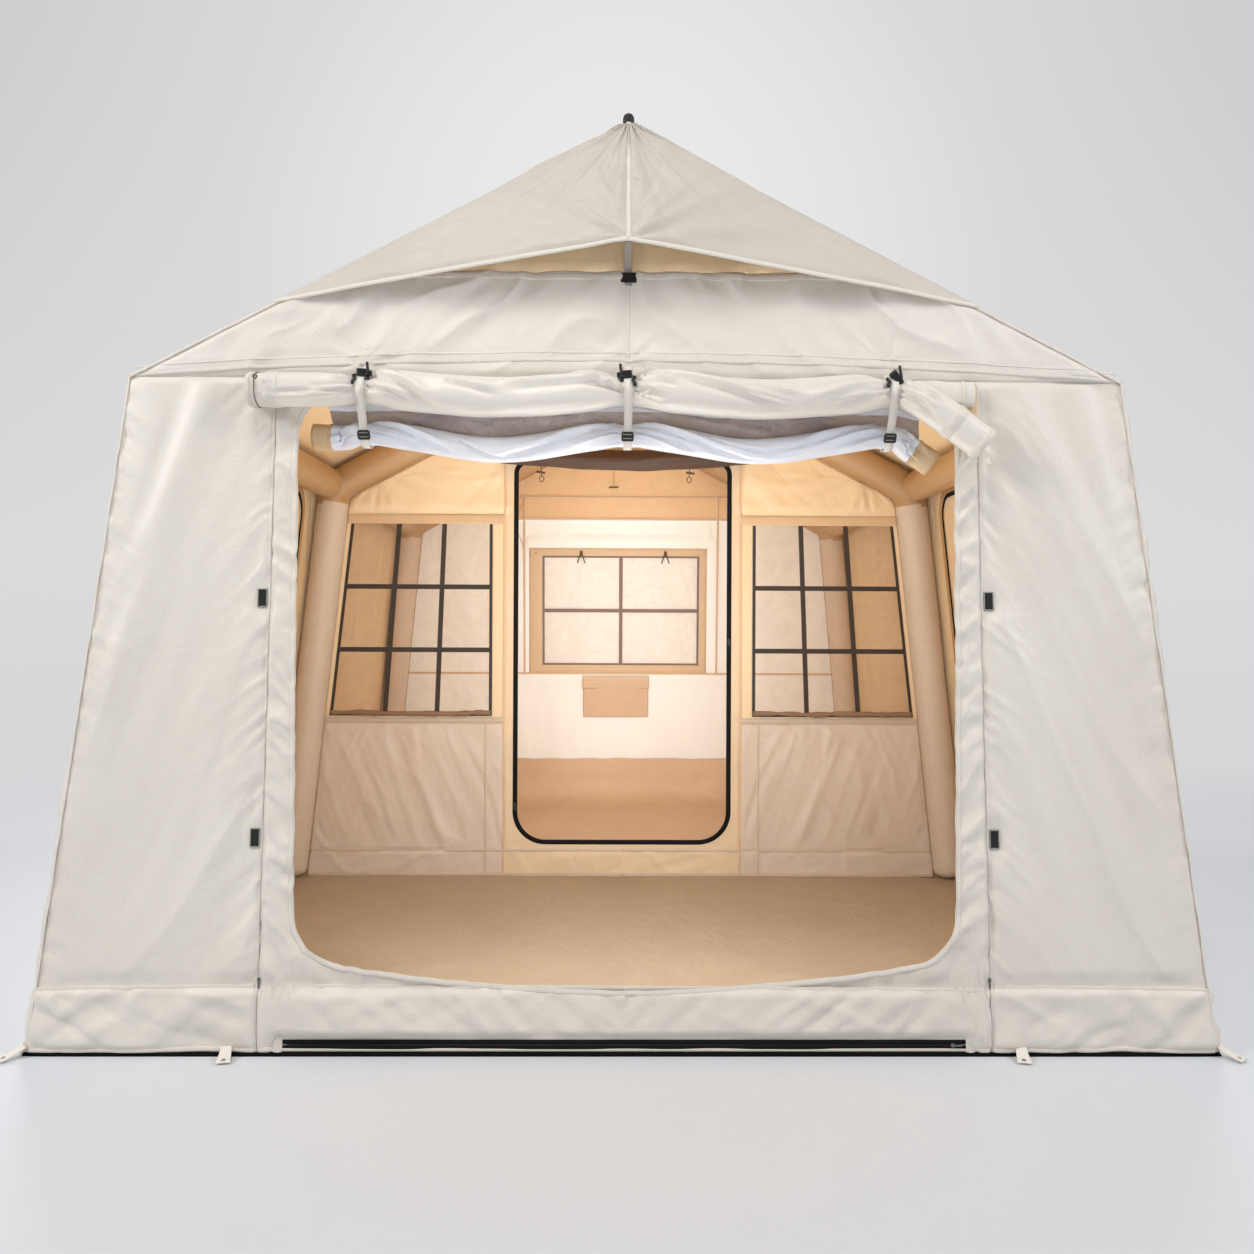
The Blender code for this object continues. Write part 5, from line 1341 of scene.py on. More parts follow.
slack = np.maximum(slack + 0.003, 0) * ease(tub_down / 0.10) * near_bend
tub_top = 0.004 * lattice(tub_x * 9, tub_x * 0, 93) * ease(1 - tub_down / 0.05)
tub_y = tub_line[:, :1] + tub_out[:, :1] * slack
tub_z = tub_line[:, 1:] + tub_out[:, 1:] * slack + tub_top
tub_z = tub_z + (floor_height(tub_x, tub_y) + 0.004) * ease((tub_down - 0.1) / 0.3)
tub_points = np.stack([tub_x, tub_y, tub_z], axis=-1)
tub_flat = np.stack([tub_x, tub_down], axis=-1)
tub = cloth("rear_tub_cloth", [(tub_points, tub_flat)], tan_cloth, tan_cloth)
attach(tub, "tent")


def pocket_relief(x, y):
    """A pocket that bulges a little towards its open top."""
    share_x = np.clip((x + 0.18) / 0.42, 0, 1)
    share_y = np.clip((y - 0.585) / 0.265, 0, 1)
    bulge = np.sin(math.pi * share_x) ** 0.6 * np.sin(math.pi * share_y * 0.62) ** 0.8
    return -(0.0045 + 0.0065 * bulge + 0.0016 * folds(x, y, 70, 0.15, 0.04, 95) * bulge)


sides = [line((at, 0.585), (at, 0.85), 40) for at in (-0.18, 0.24)]
pocket_flat = np.swapaxes(ruled(*sides, 60), 0, 1)
pocket = cloth("rear_pocket_cloth", [on_wall(REAR, pocket_flat, pocket_relief)], tan_cloth, tan_cloth)
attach(pocket, "tent")
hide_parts("rear_pocket")
flap_line = line((-0.185, 0.812), (0.245, 0.812), 50)
inner_tape("rear_pocket_flap", REAR, flap_line, 0.086, 0.003, tan_tape, 0.0105)


# Air beams
# Each beam is a woven sleeve, tan and slightly glossy, blown tight by the bladder in it. A welded seam runs along
# it, the sleeve puckers at the inside of each bend, and its ends are gathered.
ARCH_RADIUS, EAVE_BEAM_RADIUS, RIDGE_BEAM_RADIUS = 0.075, 0.070, 0.060
ARCH_BEND = 0.12
SLEEVE_SLACK = 0.003
LEG_TOP = 1.72

sleeve_cloth = fabric("sleeve_cloth", tone(190, 150, 104), tone(170, 130, 86), 0.42, 0.0006)
leg_cloth = fabric("leg_cloth", tone(220, 200, 180), tone(204, 182, 160), 0.55, 0.0011)
sleeve_seam = stitched_cloth("sleeve_seam", tone(186, 138, 92), tone(158, 112, 70), 0.016)


def beam_sleeve(name, node, path, out, radius, seed, tips, seam_turn, finish, low_finish=None):
    """A tube round a path: its radius swells a little, puckers where the path bends, and rounds off at its tips
    as a quarter circle. A second finish is for what lies below the eave."""
    path = spaced(path, max(60, int(lengths(path)[-1] / 0.014)), closed=False)
    ahead = unit(np.gradient(path, axis=0))
    out = np.broadcast_to(out, path.shape)
    side = unit(np.cross(ahead, out))
    run = lengths(path)
    bent = np.linalg.norm(np.gradient(ahead, axis=0), axis=1) / np.gradient(run)
    bent = np.convolve(np.pad(bent, 6, mode="edge"), np.ones(13) / 13, mode="valid") * ARCH_BEND
    turn = np.linspace(0, 2 * math.pi, 42, endpoint=False)
    s, t = run[:, None], turn[None]
    inner_side = 0.5 + 0.5 * np.cos(t - math.radians(seam_turn))
    pucker = 0.0050 * lattice(s / 0.016 + 4, t * 0 + 2.5, seed) * inner_side**2 * np.clip(bent, 0, 1)[:, None]
    wrinkle = 0.0010 * folds(s, np.cos(t) * 0.1 + 0.3 * np.sin(t), 80, 0.2, 0.05, seed + 1)
    swell = 0.0012 * cloudy(s / 0.4, np.cos(t) * 1.2 + 3, seed + 2)
    to_tip = np.minimum(run + (0 if tips[0] else 1), run[-1] - run + (0 if tips[1] else 1))
    tip = 0.045
    rounding = np.sqrt(np.clip(1 - (1 - np.clip(to_tip / tip, 0.02, 1)) ** 2, 0, 1))[:, None]
    gather = 0.0022 * np.cos(14 * t) * fading(to_tip, 0.035)[:, None]
    size = (radius - SLEEVE_SLACK + np.minimum(pucker + wrinkle + swell + gather, 0.0026)) * rounding
    cos, sin = np.cos(t)[..., None], np.sin(t)[..., None]
    points = path[:, None] + size[..., None] * (cos * side[:, None] + sin * out[:, None])
    uv = np.stack(np.broadcast_arrays(s, t * radius), axis=-1)
    mesh = grid_mesh(name, points, uv, wrap=True, caps=True)
    piece = shown(name, mesh, finish, low_finish or finish)
    middles = np.empty(len(mesh.polygons) * 3, np.float32)
    mesh.polygons.foreach_get("center", middles)
    mesh.polygons.foreach_set("material_index", (middles[2::3] < LEG_TOP).astype(np.int32))
    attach(piece, "tent")
    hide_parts(node)
    at = math.radians(seam_turn)
    way = math.cos(at) * side + math.sin(at) * out
    keep = slice(5, -5)
    place = path + way * (radius - SLEEVE_SLACK + 0.0005)
    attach(tape(f"{name}_seam", place[keep], way[keep], 0.016, 0.0022, sleeve_seam), "tent")


def bent_path(corners, radius):
    path = [corners[0][None]]
    for before, corner, after in zip(corners, corners[1:], corners[2:]):
        path.append(rounded_corner(corner, before, after, radius, 14))
    return np.concatenate([*path, corners[-1][None]])


inside = -(SHELL + ARCH_RADIUS)
arch_planes = {"front": plane(FRONT, inside), "middle": plane(MIDDLE), "rear": plane(REAR, inside)}
for index, (label, beside) in enumerate(arch_planes.items()):
    left, right = plane(LEFT, inside), plane(RIGHT, inside)
    left_roof, right_roof = plane(LEFT_ROOF, inside), plane(RIGHT_ROOF, inside)
    low = height_plane(0.006)
    corners = [meet(beside, left, low), meet(beside, left, left_roof), meet(beside, left_roof, right_roof),
               meet(beside, right, right_roof), meet(beside, right, low)]
    beam_sleeve(f"{label}_arch_sleeve", f"{label}_arch", bent_path(np.array(corners), ARCH_BEND), beside[0],
                ARCH_RADIUS, 101 + 5 * index, (True, True), 180, sleeve_cloth, leg_cloth)

starts = {"front": plane(FRONT, inside - ARCH_RADIUS - 0.001), "rear": plane(MIDDLE, -ARCH_RADIUS - 0.001)}
stops = {"front": plane(MIDDLE, ARCH_RADIUS + 0.001), "rear": plane(REAR, inside - ARCH_RADIUS - 0.001)}
for bay in ("front", "rear"):
    for label, wall, slope in (("left", LEFT, LEFT_ROOF), ("right", RIGHT, RIGHT_ROOF)):
        guides = [plane(guide, -(SHELL + EAVE_BEAM_RADIUS)) for guide in (wall, slope)]
        path = np.array([meet(starts[bay], *guides), meet(stops[bay], *guides)])
        down = 250 if label == "left" else 290
        beam_sleeve(f"{label}_{bay}_eave_beam_sleeve", f"{label}_{bay}_eave_beam", path, (0, 0, 1),
                    EAVE_BEAM_RADIUS, 121, (True, True), down, sleeve_cloth)
    guides = [plane(guide, -(SHELL + RIDGE_BEAM_RADIUS)) for guide in (LEFT_ROOF, RIGHT_ROOF)]
    path = np.array([meet(starts[bay], *guides), meet(stops[bay], *guides)])
    beam_sleeve(f"{bay}_ridge_beam_sleeve", f"{bay}_ridge_beam", path, (0, 0, 1), RIDGE_BEAM_RADIUS, 131,
                (True, True), 270, sleeve_cloth)
for node in ("inflation_valve", "valve_cap"):
    finish_node(node, black_nylon)


# Partition
# A cloth wall sewn inside the middle arch, in panels: a warm upper panel, a pinker lower one with folds that fall
# from the window sills, and a hem. It has a doorway and two windows of clear film, each behind a black tape grid.
DOORWAY_HALF, DOORWAY_UP, DOORWAY_ROUND = 0.492, (0.166, 1.92), 0.14
WINDOW_INNER_X, WINDOW_UP = 0.60, (0.745, 1.645)
PANEL_X, SILL_UP, HEAD_UP = 0.546, 0.715, 1.672
SILL_TAPE_UP, HEAD_TAPE_UP, LOW_SEAM_UP, STRIP_X = 0.727, 1.652, 0.127, 0.629
FLOOR_LINE = 0.0046

upper_tan = fabric("upper_tan", tone(240, 214, 176), tone(228, 198, 156), 0.58, 0.0006, crease_darkening=0.15)
lower_tan = fabric("lower_tan", tone(222, 204, 188), tone(208, 186, 168), 0.50, 0.0009)
door_tan = fabric("door_tan", tone(232, 206, 174), tone(220, 190, 154), 0.56, 0.0007, crease_darkening=0.15)
pink_tape = stitched_cloth("pink_tape", tone(214, 192, 172), tone(192, 168, 146), 0.018)


def leg_edge(z, clearance=0.0):
    """How far from the middle the inner side of the middle arch's leg is."""
    gap = SHELL + 2 * ARCH_RADIUS + 0.0004 + clearance
    return HALF_WIDTH - (z * SIDE_LEAN + gap * SIDE_TOP) / EAVE


def arch_top(x):
    """The height of the inner side of the middle arch's rafters."""
    return RIDGE - (2 * ARCH_RADIUS + SHELL) * math.hypot(EAVE_X, RISE) / EAVE_X - np.abs(x) * RISE / EAVE_X


def reach_at(z):
    """Half the width inside the arch at a height, its corners rounded as a soft minimum."""
    under_rafter = (arch_top(0) - z) * EAVE_X / RISE
    soft = 45.0
    return -np.log(np.exp(-soft * leg_edge(z)) + np.exp(-soft * under_rafter)) / soft


def partition_relief(x, y):
    """Folds that fan down from the window sills and up to the rafters, and puckers along every seam."""
    outward, tall = np.abs(x), y + 3 * (x > 0)
    sill = 0.0110 * fan(outward, y, (0.98, SILL_UP + 0.45), 0.9, 13, 141, 1.1) * ease((SILL_UP - y) / 0.04)
    low = 0.0090 * folds(outward, y, 70, 0.5, 0.060, 143)
    low = low * ease((SILL_UP - y) / 0.1) * ease((y - 0.12) / 0.1)
    low = low + 0.0070 * creases(x, y, 122, 0.35, 0.14, 145) * (y < SILL_UP)
    hem = 0.0050 * folds(x, y, 25, 0.3, 0.05, 146) * ease((0.12 - y) / 0.03)
    high = 0.0150 * fan(outward, y, (1.12, 1.86), 0.32, 4.2, 147)
    high = high + 0.0230 * facets(outward, tall, 128, 0.6, 0.125, 148)
    high = high * ease((y - HEAD_UP) / 0.05)
    strip = 0.0075 * facets(outward, tall, 128, 0.13, 0.034, 149) * (outward < PANEL_X) * (y > 0.13)
    pull = 0.0045 * folds(x, y, 62, 0.14, 0.035, 150) * fading(y - LOW_SEAM_UP, 0.04)
    return 0.001 + sill + low + hem + high + strip + pull + 0.002 * cloudy(x / 0.4, y / 0.5, 151)


def sewn_to(relief, ups, acrosses):
    """The relief with flat lines where it is sewn, at heights and at distances from the middle."""
    def calmed(x, y):
        share = ease((reach_at(y) - np.abs(x)) / 0.03) * ease((y - FLOOR_LINE) / 0.01)
        for up in ups:
            share = share * ease(np.abs(y - up) / 0.014)
        for across in acrosses:
            share = share * ease(np.abs(np.abs(x) - across) / 0.014)
        return relief(x, y) * share
    return calmed


corners = [(-DOORWAY_HALF, DOORWAY_UP[0]), (DOORWAY_HALF, DOORWAY_UP[0]), (DOORWAY_HALF, DOORWAY_UP[1]),
           (-DOORWAY_HALF, DOORWAY_UP[1])]
rounds = (DOORWAY_ROUND, DOORWAY_ROUND, 0.055, 0.055)
arcs = [rounded_corner(corners[i], corners[i - 1], corners[(i + 1) % 4], rounds[i], 16) for i in range(4)]
doorway_line = spaced(np.concatenate(arcs), 720)
foot, head = leg_edge(WINDOW_UP[0], 0.018), leg_edge(WINDOW_UP[1], 0.018)
window_corners = [(WINDOW_INNER_X, WINDOW_UP[0]), (foot, WINDOW_UP[0]),
                  (head, WINDOW_UP[1]), (WINDOW_INNER_X, WINDOW_UP[1])]


def calm_frame(x, y):
    """1 away from the doorway and the windows, 0 at their edges, where grids, film and zip lie flush."""
    door_x, door_y = np.abs(x) - DOORWAY_HALF, np.maximum(DOORWAY_UP[0] - y, y - DOORWAY_UP[1])
    from_door = np.hypot(np.maximum(door_x, 0), np.maximum(door_y, 0))
    inner, outer = WINDOW_INNER_X - np.abs(x), np.abs(x) - leg_edge(y, 0.018)
    below, above = WINDOW_UP[0] - y, y - WINDOW_UP[1]
    from_window = np.hypot(np.maximum(np.maximum(inner, outer), 0), np.maximum(np.maximum(below, above), 0))
    return ease((from_door - 0.012) / 0.05) * ease((from_window - 0.004) / 0.035)


# Painted shadow: a dark tape for the dark line where the partition meets the floor.
dark_foot_shadow = webbing_cloth("dark_foot_shadow", tone(62, 48, 36), tone(88, 70, 54), 0.0030)
partition_folds = sewn_to(lambda x, y: partition_relief(x, y) * calm_frame(x, y),
                          (SILL_UP, HEAD_UP, LOW_SEAM_UP), (PANEL_X,))
top_z = arch_top(PANEL_X)
border = [(-PANEL_X, FLOOR_LINE), (PANEL_X, FLOOR_LINE), (PANEL_X, top_z), (0, arch_top(0)),
          (-PANEL_X, top_z)]
patches = [(ring(doorway_line, border, 22), "middle")]
for sign in (-1, 1):
    corners = np.array(window_corners) * (sign, 1)
    corners = corners if sign > 0 else corners[::-1]
    outline = spaced(corners, 420)
    outer = np.array([(PANEL_X, SILL_UP), (leg_edge(SILL_UP), SILL_UP),
                      (leg_edge(HEAD_UP), HEAD_UP), (PANEL_X, HEAD_UP)]) * (sign, 1)
    patches.append((ring(outline, outer if sign > 0 else outer[::-1], 11), "upper"))
    for low, high, rows, kind in ((FLOOR_LINE, SILL_UP, 80, "lower"), (HEAD_UP, top_z, 56, "upper")):
        ups = np.linspace(low, high, rows)
        reach = np.maximum(reach_at(ups), PANEL_X + 0.001)
        near = np.stack([np.full_like(ups, sign * PANEL_X), ups], axis=1)
        far = np.stack([sign * reach, ups], axis=1)
        flat = np.swapaxes(ruled(near, far, 112), 0, 1)
        patches.append((flat if sign > 0 else flat[:, ::-1], kind))
groups = {kind: [on_wall(MIDDLE, flat, partition_folds) for flat, made in patches if made == kind]
          for kind in ("upper", "middle", "lower")}
partition = cloth("partition_upper_cloth", groups["upper"], upper_tan, rear_lining, 0.0012, weld=True)
door_panel = cloth("partition_middle_cloth", groups["middle"], door_tan, rear_lining, 0.0012, weld=True)
lower_partition = cloth("partition_lower_cloth", groups["lower"], lower_tan, tan_cloth, 0.0012, weld=True)
for piece in (partition, door_panel, lower_partition):
    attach(piece, "tent")
    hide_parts("partition_wall")


def partition_tapes(rows):
    """The tapes on both halves of the partition, each from one (x, height) to another on the right half."""
    for side, label in SIDES:
        for name, start, end, width, finish, lift in rows:
            flat = line(start, end, 140) * (side, 1)
            wall_tape(f"{label}_{name}", MIDDLE, flat, partition_folds, (width, 0.0020), finish, lift)


def level(up, short=0.0):
    """The place at a height where the cloth meets the arch's leg."""
    return leg_edge(up) - short, up


partition_tapes((
    ("panel_seam", (PANEL_X, FLOOR_LINE + 0.002), (PANEL_X, top_z - 0.01), 0.012, tan_tape, 0.0003),
    ("window_sill_tape", (PANEL_X, SILL_TAPE_UP), level(SILL_TAPE_UP), 0.026, pink_tape, 0.0003),
    ("window_head_tape", (PANEL_X, HEAD_TAPE_UP), level(HEAD_TAPE_UP, 0.003), 0.044, tan_tape, 0.0034),
    ("low_seam", (0, LOW_SEAM_UP), level(LOW_SEAM_UP), 0.013, pink_tape, 0.0003),
    ("strip_seam", (STRIP_X, FLOOR_LINE + 0.002), (STRIP_X, SILL_UP - 0.012), 0.010, pink_tape, 0.0003),
    ("foot_tape", (0, 0.016), level(0.016), 0.018, pink_tape, 0.0003),
))
# Painted shadow: a thin dark band along the partition's foot stands for the dark line where the cloth meets the
# floor.
partition_tapes([("foot_shadow_line", (0, 0.0066), level(0.0066), 0.0050, dark_foot_shadow, 0.0016)])

black_band = webbing_cloth("black_band", tone(34, 27, 22), tone(56, 46, 38), 0.0030)
for node in ("left_window_grid", "right_window_grid"):
    finish_node(node, black_band)
for node in ("left_window_pane", "right_window_pane"):
    finish_node(node, clear_film)
zip_path = MIDDLE.along(doorway_line, 0.0006)
doorway_zip = tape("partition_zip_tape", zip_path, MIDDLE.normal, 0.022, 0.0032, black_zip, True)
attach(doorway_zip, "tent")
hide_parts("partition_door_zip")
for node in ("left_zip_slider", "right_zip_slider"):
    finish_node(node, black_nylon)


# Rolled doors
# A rolled door is one sheet of cloth wound up on itself. It is pinched under each strap, where its outer turns
# gather in folds that run out along the roll, and it hangs in a shallow curve between the straps. Past the right
# strap the two front rolls droop.
STRAP_HOLD, PINCH_WIDTH = 0.034, 0.052
STATION, FIRST_TURN, LATER_TURNS = 0.0085, 52, 12
DROOP_SLOPE, DROOP_START = math.tan(math.radians(39)), 0.060


def beside_straps(x):
    """How far a place along a roll is from the nearest strap, 0 under one."""
    return np.maximum(0, np.abs(np.asarray(x)[..., None] - STRAP_X).min(axis=-1) - STRAP_HOLD / 2)


def past_straps(x):
    return np.maximum(0, np.abs(x) - STRAP_X[-1] - STRAP_HOLD / 2)


def roll_radius(x, full, pinched, end):
    body = full + (end - full) * np.minimum(1, past_straps(x) / PINCH_WIDTH)
    return body + (pinched - body) * np.exp(-((beside_straps(x) / PINCH_WIDTH) ** 2))


def roll_drop(x, sag):
    """How far a roll hangs below its straps: a curve between them, and a droop past the right one."""
    past = past_straps(x)
    bay = STRAP_X[1] - STRAP_X[0] - STRAP_HOLD
    curve = sag * np.sin(math.pi * np.minimum(1, beside_straps(x) / bay)) ** 2
    droop = DROOP_SLOPE * past * past / (past + DROOP_START)
    return np.where(x > STRAP_X[-1], droop, np.where(x < STRAP_X[0], 0, curve))


def wound_sheet(across, centre, out, radius, turns, start, way, relief):
    """A sheet wound inwards as a spiral: at each turn it lies closer to the middle by the same share, and it
    keeps the folds of the outermost turn. Gives its points and their flat coordinates."""
    ahead = unit(np.gradient(centre, axis=0))
    out = unit(np.broadcast_to(out, centre.shape) - ahead * np.sum(out * ahead, axis=1, keepdims=True))
    rise = unit(np.cross(out, ahead)) * np.sign(np.cross(out, ahead)[:, 2:])
    later = np.linspace(1, turns, int(LATER_TURNS * turns))
    theta = np.concatenate([np.linspace(0, 1, FIRST_TURN)[:-1], later]) * 2 * math.pi
    angle = math.radians(start) + way * theta
    shrink = 1 - 0.80 * theta / theta[-1]
    size = (radius[:, None] + relief(across[:, None], np.mod(angle, 2 * math.pi)[None])) * shrink[None]
    points = centre[:, None] + size[..., None] * (np.cos(angle)[None, :, None] * out[:, None]
                                                  + np.sin(angle)[None, :, None] * rise[:, None])
    wound = lengths(points[len(points) // 4])
    return points, np.stack(np.broadcast_arrays(across[:, None], wound[None]), axis=-1)


def round_roll(x, angle, amount, seed, marks):
    """Fine gathers beside the straps, slack wrinkles between them, and the roll's own single folds. Each of these
    runs from one (x, angle) to another: a ridge beside a groove, both bell curves, that fades along its length."""
    near = beside_straps(x)
    cos, sin = np.cos(angle), np.sin(angle)
    fine = lattice(cos * 3.5 + 30, sin * 4.5 + near * 5 + 20, seed + 1)
    fine = fine * fading(near, 0.045) * ease(near / 0.01)
    slack = folds(x, sin * 0.07 + cos * 0.02, 6, 0.26, 0.030, seed + 2) * ease(near / 0.06)
    height = amount * (1.4 * fine + 0.6 * slack)
    turned = (np.degrees(angle) + 180) % 360 - 180
    for x0, angle0, x1, angle1, width, depth in marks:
        round_way = math.radians(1) * 0.055
        dx, dy = x1 - x0, (angle1 - angle0) * round_way
        size = math.hypot(dx, dy)
        px, py = x - x0, (turned - angle0) * round_way
        share = (px * dx + py * dy) / size**2
        off = (py * dx - px * dy) / size
        spread = width * (0.45 + 0.75 * np.clip(share, 0, 1))
        along = ease(share / 0.12 + 0.5) * ease((1.08 - share) / 0.35)
        ridge = np.exp(-((off / spread) ** 2)) - 1.15 * np.exp(-((off / spread + 1.05) ** 2) * 2.2)
        height = height + depth * along * ridge
    return height


def stations(ends, step):
    return np.linspace(*ends, int((ends[1] - ends[0]) / step))


def roll_band(name, wound, column, width, finish, lift=0.0012):
    """A tape sewn round a roll at one of its columns."""
    points = wound[column, :60]
    middle = points.mean(axis=0)
    piece = tape(name, points[:-1], unit(points[:-1] - middle), width, 0.0020 + lift, finish, closed=True)
    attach(piece, "tent")


def joined_lead(start, wound, flat, rows, bow=0.0):
    """The part of a sheet between its sewn edge and the roll: ruled, with a bow out of the wall."""
    share = np.linspace(0, 1, rows)
    points = ruled(start, wound[:, 0], rows) + (np.sin(math.pi * share) * bow)[:, None, None] * FRONT.normal
    run = np.stack(np.broadcast_arrays(flat[None, :, 0, 0], -(1 - share)[:, None] * 0.1), axis=-1)
    return np.swapaxes(points, 0, 1), np.swapaxes(run, 0, 1)


roll_cream = fabric("roll_cream", tone(237, 231, 221), tone(224, 216, 205), 0.34, 0.0007, crease_darkening=0.14)
OUTER_ENDS, OUTER_UP, OUTER_TURNS = (-1.045, 0.985), 1.805, 5.6
x = stations(OUTER_ENDS, STATION)
OUTER_FOLDS = (
    (-0.713, 78, -0.500, -48, 0.017, 0.0153), (-0.713, 12, -0.575, -34, 0.012, 0.0126),
    (-0.505, 38, -0.348, 10, 0.015, 0.0108), (-0.080, 18, -0.350, 10, 0.019, -0.0126),
    (-0.020, 48, -0.130, 24, 0.010, 0.0144), (-0.018, -12, -0.120, 14, 0.010, -0.0144),
    (-0.016, 15, -0.085, 12, 0.006, 0.0108), (-0.020, 78, -0.160, 58, 0.012, 0.0090),
    (0.020, 62, 0.140, 20, 0.011, 0.0153), (0.022, -8, 0.115, -38, 0.010, -0.0144),
    (0.018, 22, 0.088, -12, 0.007, 0.0126), (0.045, 72, 0.460, -18, 0.020, 0.0153),
    (0.712, 38, 0.475, -18, 0.017, 0.0135), (0.718, 8, 0.640, -36, 0.009, 0.0144),
    (0.714, -12, 0.560, -48, 0.010, -0.0108), (0.300, 30, 0.470, 2, 0.012, 0.0090),
    (0.760, 42, 0.850, 16, 0.011, 0.0144), (0.758, 6, 0.840, -22, 0.010, 0.0135),
    (0.760, -30, 0.850, -48, 0.010, -0.0108), (-0.757, 44, -0.815, 36, 0.010, 0.0144),
    (-0.757, 4, -0.870, -20, 0.010, 0.0099), (-0.757, -22, -0.980, -44, 0.012, 0.0081),
)
radius = roll_radius(x, 0.0585, 0.0405, 0.050)
forward = radius + 0.0006 + 0.022 * ease(past_straps(x) / 0.08) * (x > 0)
centre = FRONT.place(x, OUTER_UP - roll_drop(x, 0.020), forward)
wound, flat = wound_sheet(x, centre, FRONT.normal, radius, OUTER_TURNS, 180, 1,
                          lambda at, angle: round_roll(at, angle, 0.0050, 171, OUTER_FOLDS))
lead = joined_lead(FRONT.place(x, np.full_like(x, 1.847), 0.006), wound, flat, 10, 0.004)
patches = [(points[:, ::-1], run[:, ::-1]) for points, run in ((wound, flat), lead)]
outer_roll = cloth("outer_door_cloth", patches, roll_cream, tan_lining, 0.0011, weld=True)
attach(outer_roll, "tent")
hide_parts("outer_door_roll")
for name, distance, width in (("left_cuff", 0.070, 0.040), ("left_hem", 0.010, 0.014)):
    roll_band(f"outer_roll_{name}", wound, int(distance / STATION), width, cream_tape)
for name, distance, width in (("right_cuff", 0.085, 0.030), ("right_hem", 0.012, 0.020)):
    roll_band(f"outer_roll_{name}", wound, -int(distance / STATION) - 1, width, cream_tape)

eyelet_dark = moulded_plastic("eyelet_dark", tone(122, 108, 94), tone(150, 136, 120), 0.5)
roll_band("outer_roll_left_slit", wound, 3, 0.0030, eyelet_dark, 0.0012)
eyelet = FRONT.place(-1.012, 1.822, 0.1085)
turn = np.linspace(0, 2 * math.pi, 24, endpoint=False)
eyelet_path = eyelet + 0.0052 * (np.cos(turn)[:, None] * FRONT.across + np.sin(turn)[:, None] * FRONT.up)
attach(tape("outer_roll_eyelet", eyelet_path, FRONT.normal, 0.0046, 0.0030, eyelet_dark, True), "tent")

tag_place = centre[-2] - 0.050 * FRONT.up + 0.030 * FRONT.normal
tag_path = line(tag_place, tag_place + 0.004 * FRONT.across - 0.020 * FRONT.up + 0.004 * FRONT.normal, 12)
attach(tape("outer_roll_tag", tag_path, FRONT.normal, 0.014, 0.0040, cream_tape), "tent")

# The door's other wing is folded flat behind the drooping end of the roll.
x = stations((0.745, 0.972), 0.006)
share = np.linspace(0, 1, len(x))
radius = 0.018 + 0.026 * ease(share / 0.35)
centre = FRONT.place(x, 1.818 - 0.006 * share, 0.014 + 0.010 * share)


def wing_relief(at, angle):
    return 0.0055 * lattice(np.cos(angle) * 2.2 + 7, np.sin(angle) * 2.2 + at * 16, 174)


wing, flat = wound_sheet(x, centre, FRONT.normal, radius, 3.0, 180, 1, wing_relief)
flatter = (wing - centre[:, None]) @ FRONT.normal
wing = wing - 0.52 * flatter[..., None] * FRONT.normal
wing_roll = cloth("outer_door_wing", [(wing[:, ::-1], flat[:, ::-1])], cream_cloth, cream_cloth, 0.0011)
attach(wing_roll, "tent")
roll_band("outer_wing_hem", wing, -6, 0.016, cream_tape)

# The inner door, of white cloth with grey film above it, is rolled up below.
LOWER_ENDS, LOWER_UP, LOWER_TURNS = (-0.895, 0.875), 1.696, 5.2
white_lining = fabric("white_lining", tone(248, 249, 254), tone(226, 229, 242), 0.38, 0.0012)
cuff_tan = fabric("cuff_tan", tone(228, 200, 160), tone(208, 176, 132), 0.55, 0.0010)
grey_film = fabric("grey_film", tone(172, 167, 173), tone(120, 113, 117), 0.10, 0.0030, 0.0, Alpha=0.88)

x = stations(LOWER_ENDS, STATION)
INNER_FOLDS = (
    (-0.712, 62, -0.470, -24, 0.015, 0.0135), (-0.712, 10, -0.560, -40, 0.010, 0.0117),
    (-0.470, 24, -0.340, -42, 0.013, 0.0090), (-0.055, 36, -0.380, -46, 0.019, -0.0105),
    (-0.022, 66, -0.230, 30, 0.013, 0.0108), (-0.020, 4, -0.170, -30, 0.009, 0.0108),
    (0.024, 60, 0.365, -34, 0.016, 0.0144), (0.022, 8, 0.190, -42, 0.009, -0.0117),
    (0.230, 30, 0.400, -10, 0.012, 0.0090), (0.708, 34, 0.400, -48, 0.016, 0.0144),
    (0.712, 66, 0.500, 40, 0.012, 0.0099), (0.714, -6, 0.600, -44, 0.009, 0.0108),
    (0.758, 50, 0.850, 10, 0.011, 0.0117), (0.758, 0, 0.840, -40, 0.009, 0.0108),
    (-0.757, 40, -0.840, -20, 0.012, 0.0126), (-0.757, -10, -0.830, -58, 0.009, -0.0108),
)
radius = roll_radius(x, 0.0380, 0.0330, 0.0395)
outward = -0.020 - 0.036 * ease(past_straps(x) / PINCH_WIDTH)
centre = FRONT.place(x, LOWER_UP - roll_drop(x, 0.042), outward)
wound, flat = wound_sheet(x, centre, FRONT.normal, radius, LOWER_TURNS, 112, -1,
                          lambda at, angle: round_roll(at, angle, 0.0050, 181, INNER_FOLDS))
cuff = int(0.054 / STATION)
body = slice(cuff, len(x) - cuff)
inner_roll = cloth("inner_door_cloth", [(wound[body], flat[body])], white_lining, white_lining, 0.0010)
cuffs = [(wound[end], flat[end]) for end in (slice(cuff + 1), slice(-cuff - 1, None))]
left_cuff = cloth("inner_door_left_cuff", cuffs[:1], cuff_tan, cuff_tan, 0.0010)
right_cuff = cloth("inner_door_right_cuff", cuffs[1:], cuff_tan, cuff_tan, 0.0010)
